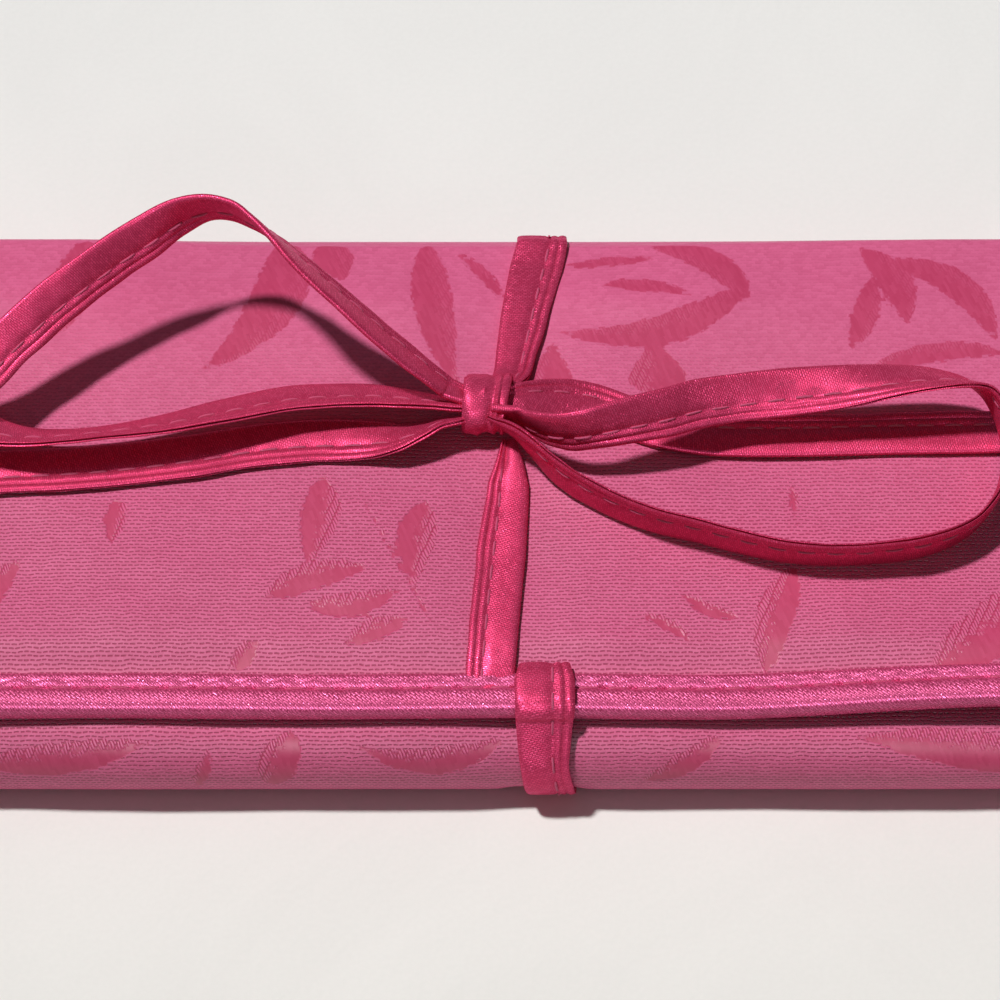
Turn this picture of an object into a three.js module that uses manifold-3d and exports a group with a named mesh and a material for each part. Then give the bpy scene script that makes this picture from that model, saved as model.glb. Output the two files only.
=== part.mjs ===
// A padded brocade jewelry pouch, folded shut and tied round its middle with a bow.
// One long panel is turned up at the front to make a slip pocket, runs along the base, stands up
// as a spine at the back and comes forward over the pocket as the flap.
// Millimetres. The origin is under the middle of the closed pouch, +X runs along the front fold,
// the flap's bound edge faces -Y and +Z is up.
import * as THREE from 'three';
import Module from 'manifold-3d';
import { mergeVertices } from 'three/addons/utils/BufferGeometryUtils.js';

const wasm = await Module();
wasm.setup();

// The closed pouch, without its tie
const pouchWidth = 190;
const pouchDepth = 76;
const pocketHeight = 11.9; // base and pocket panel together, over the middle
const flapRest = 0.7; // air between the pocket's top and the flap's back edge
const flapCrown = 0.5; // how much the flap bulges over the pocket
const flapShort = 3.8; // the flap's bound edge ends this far behind the front fold
const mouthShort = 22; // the pocket's mouth is this far ahead of the pouch's back

// The plies of the padded panel, from the outside in
const brocadeThick = 0.6;
const waddingThick = 1.3;
const liningThick = 0.4;
const plyGap = 0.3;
const zipPocketRoom = 1.1; // between the wadding and the lining of the base
const zipRise = 0.8; // the lining lies this much higher along the zip
const zipRidge = { full: 1 / 3, gone: 1 / 2 }; // where it comes down, as shares of the base
const backingThick = 0.2;

// Where the plies are sewn flat together
const seamTaper = 14; // from full padding down to the flat seam, at the sides
const edgeTaper = 5; // the same at the pocket's mouth and the flap's front
const seamFlat = 3.6; // flat width inside a binding
const seamLift = 1.3; // a side seam hangs this far above the underside
const seamTop = 6.2; // height of the two panels where the side seam joins them
const mouthDrop = 0.8; // the mouth's edge lies this much below the pocket's top

// The satin bias binding
const bindingWidth = 5.2;
const bindingThick = 0.7;
const bindingGap = 0.3;
const bindingStep = 3; // the side bindings narrow over this length behind the pocket's mouth

// The tie, a flat sewn tube of satin
const tieWidth = 6;
const tieThick = 0.9;
const tieGap = 0.3;
const tieEdge = { flat: 0.4, chamfer: 0.4 }; // its edges, between the two faces
const wrapX = 3.5; // the part that goes round the pouch
const strandX = -3; // the short part that is sewn in beside it
const strandLean = 2.2; // how far that part leans on its way to the bow
const topStrandX = 0.1; // where the part from the back reaches the bow
const tuck = { hidden: 1, shown: 0.6, drop: 0.5 }; // the tie comes out under the flap's binding
const noseTurn = Math.PI * 1.02; // how far round the binding's nose the tie clings
const wrapGroove = tieThick + tieGap; // how deep the tie presses into the base
const grooveSlope = 2.5;
const knotSize = { x: 6.4, y: 8.4, z: 6.2 };
const knotPlace = { x: -3.5, y: 7.45 };
const knotWaist = 0.12; // the knot's ends are this share slimmer than its middle
const knotSquare = 0.12; // and its corners stand out from an ellipse by this share

// The zip in the lining behind the pocket's mouth
const zipLength = 118; // the rows of teeth
const zipInset = 12.5; // the zip's middle is this far ahead of the pouch's back
const zipSlot = 6.6; // opening in the lining
const tapeWidth = 6;
const tapeThick = 0.3;
const tapeEdge = 0.8; // from the zip's middle to the tapes
const tapeMargin = 0.6; // tape beyond the teeth at the closed end
const toothPitch = 1.9;
const tooth = { x: 0.65, y: 2.4, z: 1.2 };
const toothReach = 0.5; // past the middle, between the teeth of the other row
const slider = { length: 8, width: 5.6, wing: 0.5, clearance: 0.3 };
const sliderHold = 3.2; // length of the rows still inside the slider when the zip is closed
const flange = { width: 0.6, drop: 0.45 };
const post = { length: 1.6, width: 1.2, inset: 0.6 }; // joins the wings, ahead of the rows
const bridge = { length: 4.2, width: 1.2, thick: 0.8 };
const weld = 0.2; // how far the slider's parts reach into its wings
const pull = { reach: 6.4, width: 3.4, thick: 0.8, hole: 2, clearance: 0.35 };
const stopLength = 1.4;
const stopEdge = 0.6; // from the zip's middle to the stops at the slider's end
const zipMargin = 9; // zip pocket's backing beyond the teeth
const backingInset = 13; // its front edge is this far behind the front fold
const backingSlope = 4; // the backing comes down to the brocade over this length
const windowMargin = 2.5; // wadding is cut away this far beyond the backing
const cutMargin = 1; // a cutter passes the cloth by this much

// Colours of the cloth and the zip
const brocade = new THREE.MeshStandardMaterial({ color: 0xcd588a, roughness: 0.62, metalness: 0 });
const satin = new THREE.MeshStandardMaterial({ color: 0xb2335c, roughness: 0.38, metalness: 0 });
const tieSatin = new THREE.MeshStandardMaterial({ color: 0xa62a4e, roughness: 0.36, metalness: 0 });
const liningSatin = new THREE.MeshStandardMaterial({ color: 0xc24474, roughness: 0.45, metalness: 0 });
const wadding = new THREE.MeshStandardMaterial({ color: 0xf2efe9, roughness: 0.95, metalness: 0 });
const zipTape = new THREE.MeshStandardMaterial({ color: 0xb03a66, roughness: 0.7, metalness: 0 });
const brass = new THREE.MeshStandardMaterial({ color: 0xc9a55c, roughness: 0.32, metalness: 1 });

// Sizes that follow from the ones above
const panelThick = brocadeThick + waddingThick + liningThick + 2 * plyGap;
const half = { x: pouchWidth / 2, y: pouchDepth / 2 };
const flapFront = half.y - flapShort; // from the middle to the nose of the flap's binding
const mouthPlace = half.y - mouthShort; // the pocket's mouth, behind the middle
const zipPlace = half.y - zipInset;
const spineFace = half.y - panelThick; // inner face of the spine, and both hinge lines
const hingeLow = panelThick;
const hingeHigh = pocketHeight + flapRest;
const seamPanel = brocadeThick + plyGap + liningThick; // a panel sewn flat, without wadding
const bindingOut = bindingThick + bindingGap; // a binding's outside from the seam it wraps
const bindingInner = half.x - bindingWidth;
const plyReach = half.x - bindingOut - plyGap; // side edges of the plies
const flapPlyFront = -(flapFront - bindingOut - plyGap);
const flapBindingInner = -(flapFront - bindingWidth);
const mouthNose = mouthPlace + bindingOut; // nose of the pocket mouth's binding

const tiny = 0.01; // stations nearer than this count as one

const pouch = new THREE.Group();

function piece(name, geometry, material, parent = pouch) {
  const mesh = new THREE.Mesh(geometry, material);
  mesh.name = name;
  parent.add(mesh);
  return mesh;
}

// Even steps from a to b, both included
function steps(a, b, count) {
  return Array.from({ length: count + 1 }, (_, i) => a + ((b - a) * i) / count);
}

function mix(a, b, share) {
  return a + (b - a) * share;
}

// 0 up to start, 1 from end on, and a smooth slope between them
function slope(value, start, end) {
  const t = THREE.MathUtils.clamp((value - start) / (end - start), 0, 1);
  return t * t * (3 - 2 * t);
}

// A closed body from points and triangles, turned so that its faces point out
function closedBody(points, faces) {
  let volume = 0;
  for (let i = 0; i < faces.length; i += 3) {
    const [a, b, c] = [points[faces[i]], points[faces[i + 1]], points[faces[i + 2]]];
    volume += a.dot(new THREE.Vector3().crossVectors(b, c));
  }
  const order = volume < 0 ? [0, 2, 1] : [0, 1, 2];
  const index = faces.map((_, i) => faces[i - (i % 3) + order[i % 3]]);
  const geometry = new THREE.BufferGeometry();
  geometry.setAttribute(
    'position',
    new THREE.Float32BufferAttribute(points.flatMap((p) => [p.x, p.y, p.z]), 3),
  );
  geometry.setIndex(index);
  geometry.computeVertexNormals();
  return geometry;
}

// A ply of cloth: a grid of points on its outer side (0) and its inner side (1), closed round
// its rim. place(u, v, side) gives a point.
function ply(us, vs, place) {
  const points = [0, 1].flatMap((side) => us.flatMap((u) => vs.map((v) => place(u, v, side))));
  const inner = us.length * vs.length;
  const at = (i, k) => i * vs.length + k;
  const faces = [];
  for (let i = 0; i + 1 < us.length; i += 1) {
    for (let k = 0; k + 1 < vs.length; k += 1) {
      const [a, b, c, d] = [at(i, k), at(i + 1, k), at(i + 1, k + 1), at(i, k + 1)];
      faces.push(a, b, c, a, c, d);
      faces.push(inner + a, inner + c, inner + b, inner + a, inner + d, inner + c);
    }
  }
  const rim = [
    ...us.map((_, i) => at(i, 0)),
    ...vs.map((_, k) => at(us.length - 1, k)).slice(1),
    ...us.map((_, i) => at(us.length - 1 - i, vs.length - 1)).slice(1),
    ...vs.map((_, k) => at(0, vs.length - 1 - k)).slice(1),
  ];
  for (let i = 0; i + 1 < rim.length; i += 1) {
    const [a, b] = [rim[i], rim[i + 1]];
    faces.push(a, inner + a, inner + b, a, inner + b, b);
  }
  return closedBody(points, faces);
}

// A body lofted through the stations: outline(t) gives the section's corners as [a, b] and
// place(t, a, b) puts a corner in space.
function loft(stations, outline, place) {
  const rings = stations.map((t) => outline(t));
  const count = rings[0].length;
  const points = rings.flatMap((ring, i) => ring.map(([a, b]) => place(stations[i], a, b)));
  const faces = [];
  for (let i = 0; i + 1 < stations.length; i += 1) {
    for (let k = 0; k < count; k += 1) {
      const next = (k + 1) % count;
      const [a, b] = [i * count + k, i * count + next];
      faces.push(a, b, b + count, a, b + count, a + count);
    }
  }
  const last = (stations.length - 1) * count;
  for (const [a, b, c] of capOf(rings[0])) {
    faces.push(a, c, b);
  }
  for (const [a, b, c] of capOf(rings.at(-1))) {
    faces.push(last + a, last + b, last + c);
  }
  return closedBody(points, faces);
}

// Triangles over a section, wound the way its corners run
function capOf(ring) {
  const contour = ring.map(([a, b]) => new THREE.Vector2(a, b));
  const turn = Math.sign(THREE.ShapeUtils.area(contour));
  return THREE.ShapeUtils.triangulateShape(contour, []).map(([a, b, c]) => {
    const way = THREE.ShapeUtils.area([contour[a], contour[b], contour[c]]);
    return Math.sign(way) === turn ? [a, b, c] : [a, c, b];
  });
}

// Joining and cutting closed bodies
function solid(geometry) {
  const bare = new THREE.BufferGeometry();
  bare.setAttribute('position', geometry.getAttribute('position').clone());
  if (geometry.index) {
    bare.setIndex(geometry.index.clone());
  }
  const merged = mergeVertices(bare, 1e-5);
  return new wasm.Manifold(
    new wasm.Mesh({
      numProp: 3,
      vertProperties: new Float32Array(merged.getAttribute('position').array),
      triVerts: new Uint32Array(merged.index.array),
    }),
  );
}

function geometryOf(manifold) {
  const mesh = manifold.getMesh();
  const geometry = new THREE.BufferGeometry();
  geometry.setAttribute('position', new THREE.Float32BufferAttribute(mesh.vertProperties, 3));
  geometry.setIndex([...mesh.triVerts]);
  geometry.computeVertexNormals();
  return geometry;
}

function union(geometries) {
  return geometryOf(geometries.map(solid).reduce((all, next) => all.add(next)));
}

function cut(geometry, ...cutters) {
  return geometryOf(cutters.map(solid).reduce((rest, next) => rest.subtract(next), solid(geometry)));
}

// A box between two corners
function boxBetween(low, high) {
  const size = high.map((value, i) => value - low[i]);
  const middle = high.map((value, i) => (value + low[i]) / 2);
  return new THREE.BoxGeometry(...size).translate(...middle);
}

// The plies of the panel. Depths are measured inwards from the outer surface to the ply's two
// sides, full where the panel is padded and flat where it is sewn flat; the wadding thins out and
// ends before that. follow says how much of the tie's groove each side takes over.
const liningDepth = panelThick - liningThick;
const flatLining = brocadeThick + plyGap;
const waddingDepth = brocadeThick + plyGap;

const plies = {
  brocade: { full: [0, brocadeThick], flat: [0, brocadeThick], follow: [1, 1] },
  wadding: {
    full: [waddingDepth, waddingDepth + waddingThick],
    flat: [waddingDepth, flatLining - plyGap],
    follow: [1, 0.3],
  },
  lining: {
    full: [liningDepth, liningDepth + liningThick],
    flat: [flatLining, flatLining + liningThick],
    follow: [0, 0],
  },
};

function depthOf(kind, side, flatness, groove = 0) {
  const { full, flat, follow } = plies[kind];
  return mix(full[side], flat[side], flatness) + follow[side] * groove;
}

// How flat the panel is sewn at a distance x from the middle
function sideFlatness(x) {
  return slope(Math.abs(x), plyReach - seamFlat - seamTaper, plyReach - seamFlat);
}

// Stations across the pouch, close together at the seams and at the tie's groove
function across(reach, withGroove = false) {
  const taper = steps(plyReach - seamFlat - seamTaper, plyReach - seamFlat, 5);
  const sides = [...taper, reach].filter((x) => x <= reach);
  const grooveHalf = tieWidth / 2 + tieGap;
  const middle = withGroove
    ? [-grooveHalf - grooveSlope, -grooveHalf, grooveHalf, grooveHalf + grooveSlope]
    : [-grooveHalf];
  return [
    ...sides.map((x) => -x).reverse(),
    ...middle.map((x) => wrapX + x),
    ...sides,
  ];
}

// How far the tie presses into the lower body. It is deepest under the base and fades out up
// the front and the back, as 1 - lift tells.
function grooveAt(x, lift) {
  const off = Math.abs(x - wrapX);
  const start = tieWidth / 2 + tieGap;
  return wrapGroove * (1 - slope(off, start, start + grooveSlope)) * (1 - lift);
}

// The lower body runs from the back along the base (u from 0 to 1), round the front fold (1 to 2)
// and back over the pocket to its mouth (2 to 3).
function lowerBody(u, x, depthIn, flatness) {
  const bottom = seamLift * flatness;
  const top = mix(pocketHeight, seamTop, flatness);
  const radius = (top - bottom) / 2;
  const foldY = -half.y + radius;
  if (u <= 1) {
    return new THREE.Vector3(x, mix(spineFace - plyGap, foldY, u), bottom + depthIn);
  }
  if (u <= 2) {
    const angle = -Math.PI / 2 - (u - 1) * Math.PI;
    const r = radius - depthIn;
    return new THREE.Vector3(x, foldY + r * Math.cos(angle), bottom + radius + r * Math.sin(angle));
  }
  return new THREE.Vector3(x, mix(foldY, mouthPlace, u - 2), top - depthIn);
}

// Where the lower body's front fold ends and its flat mouth edge begins, as shares of u
const pocketRun = mouthPlace + half.y - pocketHeight / 2;

function mouthFlatness(u) {
  const left = (3 - u) * pocketRun;
  return 1 - slope(left, seamFlat, seamFlat + edgeTaper);
}

function alongLowerBody(endU) {
  const base = steps(0, 1, 6);
  const fold = steps(1, 2, 8).slice(1);
  const mouthStart = 3 - (seamFlat + edgeTaper) / pocketRun;
  const top = [
    mix(2, mouthStart, 0.5),
    ...steps(mouthStart, 3 - seamFlat / pocketRun, 3),
    3,
  ].filter((u) => u < endU - tiny);
  return [...base, ...fold, ...top, endU];
}

// The base's lining lies deeper than the pocket's, because the zip pocket is under it
function liningRoom(u) {
  const rise = zipRise * (1 - slope(u, zipRidge.full, zipRidge.gone));
  return (zipPocketRoom + rise) * (1 - slope(u, 1, 2));
}

function lowerPly(kind, reach, endU) {
  return ply(alongLowerBody(endU), across(reach, kind !== 'lining'), (u, x, side) => {
    const bySide = sideFlatness(x);
    const byMouth = mouthFlatness(u);
    const flatness = Math.max(bySide, byMouth);
    const lift = slope(u, 1, 1.5);
    let depthIn = depthOf(kind, side, flatness, grooveAt(x, lift)) + mouthDrop * byMouth;
    if (kind === 'lining') {
      depthIn += liningRoom(u) * (1 - bySide);
    }
    return lowerBody(u, x, depthIn, bySide);
  });
}

// The wadding stops short of the seams
const waddingReach = plyReach - seamFlat - seamTaper / 3;
const waddingMouthU = 3 - (seamFlat + edgeTaper / 2) / pocketRun;

// The zip pocket lies where the wadding is cut away
const zipFloor = brocadeThick + plyGap; // the backing rests on the brocade there
const zipHalf = zipLength / 2;
const liningTop = panelThick + liningRoom(0); // upper face of the lining along the zip
const chainMiddle = liningTop - liningThick - plyGap - tapeThick / 2;
const chainEnd = -zipHalf + Math.floor(zipLength / toothPitch) * toothPitch;
const sliderPlace = chainEnd + slider.length / 2 - sliderHold;
const topStop = sliderPlace + slider.length / 2 + slider.clearance;
const tapeStart = -zipHalf - tapeMargin;
const bottomStop = tapeStart - plyGap;
const backingReach = zipHalf + zipMargin;
const backingStep = zipPlace - tapeWidth - backingSlope; // it starts down off the wadding here
const waddingWindow = boxBetween(
  [-backingReach - windowMargin, backingStep - plyGap, -cutMargin],
  [backingReach + windowMargin, half.y, hingeLow + cutMargin],
);

function makeLowerBody() {
  piece('base_brocade', lowerPly('brocade', plyReach, 3), brocade);
  piece(
    'base_wadding',
    cut(lowerPly('wadding', waddingReach, waddingMouthU), waddingWindow),
    wadding,
  );
  const slot = boxBetween(
    [bottomStop - stopLength - plyGap, zipPlace - zipSlot / 2, 0],
    [topStop + stopLength + plyGap, zipPlace + zipSlot / 2, liningTop + plyGap],
  );
  piece('base_lining', cut(lowerPly('lining', plyReach, 3), slot), liningSatin);
}

// The backing of the zip pocket, one ply that steps down behind the zip
function makeZipBacking() {
  const lowered = backingStep + backingSlope;
  const ys = [backingInset - half.y, backingStep, lowered, spineFace - 2 * plyGap];
  const high = waddingDepth + waddingThick + plyGap;
  const geometry = ply(ys, across(backingReach, true), (y, x, side) => {
    const down = slope(y, backingStep, lowered);
    const lift = plies.wadding.follow[1] * grooveAt(x, 0) * (1 - down);
    const over = down * grooveAt(x, 0);
    const z = mix(high, zipFloor, down) + lift + over + side * backingThick;
    return new THREE.Vector3(x, y, z);
  });
  piece('zip_pocket_backing', geometry, liningSatin);
}

// A binding's section, a folded strip round an edge that points to +a: wide across the edge is
// a, and b goes from low to high, which are the outer faces of what it wraps.
function bindingOutline(nose, inner, low, high) {
  const middle = (low + high) / 2;
  const reach = (high - low) / 2 + bindingOut;
  const noseReach = Math.min(reach, bindingWidth / 2);
  const points = steps(-Math.PI / 2, Math.PI / 2, 6).map((angle) => {
    const out = Math.abs(Math.cos(angle)) ** (2 / 3);
    const up = Math.sign(Math.sin(angle)) * Math.abs(Math.sin(angle)) ** (2 / 3);
    return [nose - noseReach * (1 - out), middle + reach * up];
  });
  const hollow = nose - bindingOut;
  return [
    [inner, low - bindingGap - bindingThick / 2],
    ...points,
    [inner, high + bindingGap + bindingThick / 2],
    [inner, high + bindingGap],
    [hollow, high + bindingGap],
    [hollow, low - bindingGap],
    [inner, low - bindingGap],
  ];
}

// Bindings down the sides of the lower body, over both panels as far as the pocket's mouth and
// over the base alone behind it
function makeLowerBindings() {
  const ys = [-half.y, mouthNose, mouthNose + bindingStep, spineFace - plyGap];
  const section = (y) => {
    const behind = slope(y, mouthNose, mouthNose + bindingStep);
    const high = mix(seamTop, seamLift + seamPanel, behind);
    return bindingOutline(half.x, bindingInner, seamLift, high);
  };
  for (const [name, way] of [['left', -1], ['right', 1]]) {
    const geometry = loft(ys, section, (y, a, b) => new THREE.Vector3(way * a, y, b));
    piece(`base_binding_${name}`, geometry, satin);
  }
}

// Binding of the pocket's mouth, between the two side bindings
function makeMouthBinding() {
  const reach = bindingInner - bindingGap;
  const xs = across(reach);
  const section = (x) => {
    const top = mix(pocketHeight, seamTop, sideFlatness(x)) - mouthDrop;
    return bindingOutline(mouthNose, mouthNose - bindingWidth, top - seamPanel, top);
  };
  piece('mouth_binding', loft(xs, section, (x, a, b) => new THREE.Vector3(x, a, b)), satin);
}

// The spine stands between the two hinge lines
function makeSpine() {
  const zs = [hingeLow + plyGap, (hingeLow + hingeHigh) / 2, hingeHigh - plyGap];
  const spinePly = (kind, reach) =>
    ply(zs, across(reach), (z, x, side) => {
      const flatness = sideFlatness(x);
      const sunk = flatness * (panelThick - seamPanel) / 2;
      return new THREE.Vector3(x, half.y - sunk - depthOf(kind, side, flatness), z);
    });
  piece('spine_brocade', spinePly('brocade', plyReach), brocade);
  piece('spine_wadding', spinePly('wadding', waddingReach), wadding);
  piece('spine_lining', spinePly('lining', plyReach), liningSatin);
  const middle = half.y - panelThick / 2;
  const section = () =>
    bindingOutline(half.x, bindingInner, middle - seamPanel / 2, middle + seamPanel / 2);
  for (const [name, way] of [['left', -1], ['right', 1]]) {
    const geometry = loft([zs[0], zs.at(-1)], section, (z, a, b) => new THREE.Vector3(way * a, b, z));
    piece(`spine_binding_${name}`, geometry, satin);
  }
}

// Brocade over the two folds at the back. The lower one takes over the tie's groove.
function makeFold(name, centreZ, startAngle, grooved) {
  const angles = steps(startAngle, startAngle + Math.PI / 2, 4);
  const geometry = ply(angles, across(plyReach, grooved), (angle, x, side) => {
    const flatness = sideFlatness(x);
    const lift = grooved ? slope(angle, -Math.PI / 2, 0) : 1;
    const sunk = (flatness * (panelThick - seamPanel)) / 2;
    const r = panelThick - sunk - depthOf('brocade', side, flatness, grooveAt(x, lift));
    return new THREE.Vector3(x, spineFace + r * Math.cos(angle), centreZ + r * Math.sin(angle));
  });
  piece(name, geometry, brocade);
}

// The flap, which bulges a little over the pocket
const flapMiddle = (spineFace - flapFront) / 2;
const flapSpan = spineFace + flapFront;
const flapWaddingFront = flapPlyFront + seamFlat + edgeTaper / 3;

function flapUnderside(y) {
  return hingeHigh + flapCrown * (1 - ((2 * (y - flapMiddle)) / flapSpan) ** 2);
}

function flapFlatness(x, y) {
  const front = y - flapPlyFront;
  return Math.max(sideFlatness(x), 1 - slope(front, seamFlat, seamFlat + edgeTaper));
}

function flapSurface(x, y, depthIn) {
  const sunk = (flapFlatness(x, y) * (panelThick - seamPanel)) / 2;
  return new THREE.Vector3(x, y, flapUnderside(y) + panelThick - sunk - depthIn);
}

function makeFlap() {
  const ys = (front) => [
    ...[flapPlyFront, ...steps(flapPlyFront + seamFlat, flapPlyFront + seamFlat + edgeTaper, 3)]
      .filter((y) => y > front + tiny),
    ...steps(flapPlyFront + seamFlat + edgeTaper, spineFace - plyGap, 6).slice(1),
  ];
  const flapPly = (kind, reach, front) =>
    ply([front, ...ys(front)], across(reach), (y, x, side) =>
      flapSurface(x, y, depthOf(kind, side, flapFlatness(x, y))),
    );
  piece('flap_brocade', flapPly('brocade', plyReach, flapPlyFront), brocade);
  piece('flap_wadding', flapPly('wadding', waddingReach, flapWaddingFront), wadding);
  piece('flap_lining', flapPly('lining', plyReach, flapPlyFront), liningSatin);

  const seamMiddle = (y) => flapUnderside(y) + panelThick / 2;
  const frontMiddle = seamMiddle(flapPlyFront + seamFlat / 2);
  const frontSection = () =>
    bindingOutline(flapFront, -flapBindingInner, frontMiddle - seamPanel / 2, frontMiddle + seamPanel / 2);
  const front = loft([-half.x, half.x], frontSection, (x, a, b) => new THREE.Vector3(x, -a, b));
  piece('flap_front_binding', front, satin);

  const sideYs = steps(flapBindingInner + bindingGap, spineFace - plyGap, 6);
  const sideSection = (y) =>
    bindingOutline(
      half.x,
      bindingInner,
      seamMiddle(y) - seamPanel / 2,
      seamMiddle(y) + seamPanel / 2,
    );
  for (const [name, way] of [['left', -1], ['right', 1]]) {
    const geometry = loft(sideYs, sideSection, (y, a, b) => new THREE.Vector3(way * a, y, b));
    piece(`flap_binding_${name}`, geometry, satin);
  }
}

// The zip: two tapes whose rows of teeth mesh, a slider at the closed end and its pull
function toothRow(way, shift) {
  const count = Math.floor(zipLength / toothPitch);
  const inner = zipPlace - way * toothReach;
  const outer = inner + way * tooth.y;
  const halfTall = tooth.z / 2;
  return Array.from({ length: count }, (_, i) => {
    const x = -zipHalf + (i + shift) * toothPitch;
    return boxBetween(
      [x, Math.min(inner, outer), chainMiddle - halfTall],
      [x + tooth.x, Math.max(inner, outer), chainMiddle + halfTall],
    );
  });
}

const chainReach = tooth.y - toothReach; // outer edge of the rows from the zip's middle
const wingLow = tooth.z / 2 + slider.clearance; // from the chain's middle to a wing's inner face

function makeZip() {
  for (const [name, way, shift] of [['front', -1, 0], ['rear', 1, 0.5]]) {
    const near = zipPlace + way * tapeEdge;
    const far = zipPlace + way * (tapeEdge + tapeWidth);
    const tape = boxBetween(
      [tapeStart, Math.min(near, far), chainMiddle - tapeThick / 2],
      [topStop + stopLength + plyGap, Math.max(near, far), chainMiddle + tapeThick / 2],
    );
    const stopNear = zipPlace + way * stopEdge;
    const stopFar = zipPlace + way * chainReach;
    const stop = boxBetween(
      [topStop, Math.min(stopNear, stopFar), chainMiddle - tooth.z / 2],
      [topStop + stopLength, Math.max(stopNear, stopFar), chainMiddle + tooth.z / 2],
    );
    piece(`zip_${name}_tape`, union([tape, stop, ...toothRow(way, shift)]), zipTape);
  }
  const clasp = boxBetween(
    [bottomStop - stopLength, zipPlace - chainReach, chainMiddle - tooth.z / 2],
    [bottomStop, zipPlace + chainReach, chainMiddle + tooth.z / 2],
  );
  piece('zip_bottom_stop', clasp, brass);
}

// The slider is two wings, joined by a post ahead of the teeth, with flanges that hold the rows
// together and a bridge for the pull.
const wingTop = wingLow + slider.wing;
const pivotHeight = wingTop + pull.clearance + pull.thick / 2; // above the chain's middle

function makeSlider() {
  const wing = (low, high, width) =>
    boxBetween([-slider.length / 2, -width / 2, low], [slider.length / 2, width / 2, high]);
  const flangeOuter = slider.width / 2;
  const flangeInner = flangeOuter - flange.width;
  const flanges = [-1, 1].flatMap((side) =>
    [-1, 1].map((level) => {
      const ys = [side * flangeInner, side * flangeOuter].sort((a, b) => a - b);
      const zs = [level * (wingLow - flange.drop), level * (wingLow + weld)].sort((a, b) => a - b);
      return boxBetween([-slider.length / 2, ys[0], zs[0]], [slider.length / 2, ys[1], zs[1]]);
    }),
  );
  const postFront = slider.length / 2 - post.inset;
  const pillar = boxBetween(
    [postFront - post.length, -post.width / 2, -wingTop],
    [postFront, post.width / 2, wingTop],
  );
  const crown = pivotHeight + pull.thick / 2 + pull.clearance;
  const arch = boxBetween(
    [-bridge.length / 2, -bridge.width / 2, wingTop - weld],
    [bridge.length / 2, bridge.width / 2, crown + bridge.thick],
  );
  const archHole = boxBetween(
    [-bridge.length / 2 + bridge.thick, -bridge.width, wingTop],
    [bridge.length / 2 - bridge.thick, bridge.width, crown],
  );
  const body = union([
    wing(wingLow, wingTop, slider.width),
    wing(-wingTop, -wingLow, slider.width),
    ...flanges,
    pillar,
    cut(arch, archHole),
  ]);
  const carriage = new THREE.Group();
  carriage.position.set(sliderPlace, zipPlace, chainMiddle);
  pouch.add(carriage);
  piece('zip_slider', body, brass, carriage);

  const bridgeTurn = Math.hypot(bridge.length / 2, crown + bridge.thick - pivotHeight);
  const eyeEnd = bridgeTurn + pull.clearance; // the pull's eye swings clear of the bridge
  const halfWidth = pull.width / 2;
  const halfBar = pull.thick / 2;
  const shape = new THREE.Shape();
  shape.moveTo(0, halfWidth);
  shape.lineTo(-pull.reach + halfWidth, halfWidth);
  shape.absarc(-pull.reach + halfWidth, 0, halfWidth, Math.PI / 2, (3 * Math.PI) / 2, false);
  shape.lineTo(0, -halfWidth);
  shape.lineTo(0, -pull.hole / 2);
  shape.lineTo(-eyeEnd, -pull.hole / 2);
  shape.lineTo(-eyeEnd, pull.hole / 2);
  shape.lineTo(0, pull.hole / 2);
  shape.lineTo(0, halfWidth);
  const tab = new THREE.ExtrudeGeometry(shape, {
    depth: pull.thick,
    bevelEnabled: false,
    curveSegments: 6,
  }).translate(0, 0, -halfBar);
  const bar = new THREE.CylinderGeometry(halfBar, halfBar, pull.width, 12);
  const hinge = new THREE.Group();
  hinge.position.set(0, 0, pivotHeight);
  carriage.add(hinge);
  piece('zip_pull', union([tab, bar]), brass, hinge);
}

// A stretch of the tie. Each point is its middle and the way its width lies.
const tieFace = tieWidth / 2 - tieEdge.chamfer;
const tieSection = [
  [-tieWidth / 2, -tieEdge.flat / 2],
  [-tieFace, -tieThick / 2],
  [tieFace, -tieThick / 2],
  [tieWidth / 2, -tieEdge.flat / 2],
  [tieWidth / 2, tieEdge.flat / 2],
  [tieFace, tieThick / 2],
  [-tieFace, tieThick / 2],
  [-tieWidth / 2, tieEdge.flat / 2],
];

function strand(route, perPoint) {
  const middle = new THREE.CatmullRomCurve3(route.map(([place]) => new THREE.Vector3(...place)));
  const count = (route.length - 1) * perPoint;
  const frames = steps(0, 1, count).map((t) => {
    const place = middle.getPoint(t);
    const along = middle.getTangent(t);
    const at = Math.min(Math.floor(t * (route.length - 1)), route.length - 2);
    const share = t * (route.length - 1) - at;
    const width = new THREE.Vector3(...route[at][1]).normalize();
    width.lerp(new THREE.Vector3(...route[at + 1][1]).normalize(), share);
    width.addScaledVector(along, -width.dot(along)).normalize();
    return { place, width, face: new THREE.Vector3().crossVectors(along, width) };
  });
  const corner = (i, a, b) =>
    frames[i].place.clone().addScaledVector(frames[i].width, a).addScaledVector(frames[i].face, b);
  return loft(steps(0, count, count), () => tieSection, corner);
}

const alongX = [1, 0, 0];
const offFlap = tieGap + tieThick / 2;

// The height of the tie's middle where it lies on the flap
function onFlap(x, y) {
  return flapSurface(x, y, 0).z + offFlap;
}

function laidStrand(from, to, count) {
  return steps(0, 1, count).map((share) => {
    const [x, y] = [mix(from[0], to[0], share), mix(from[1], to[1], share)];
    return [[x, y, onFlap(x, y)], alongX];
  });
}

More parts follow.
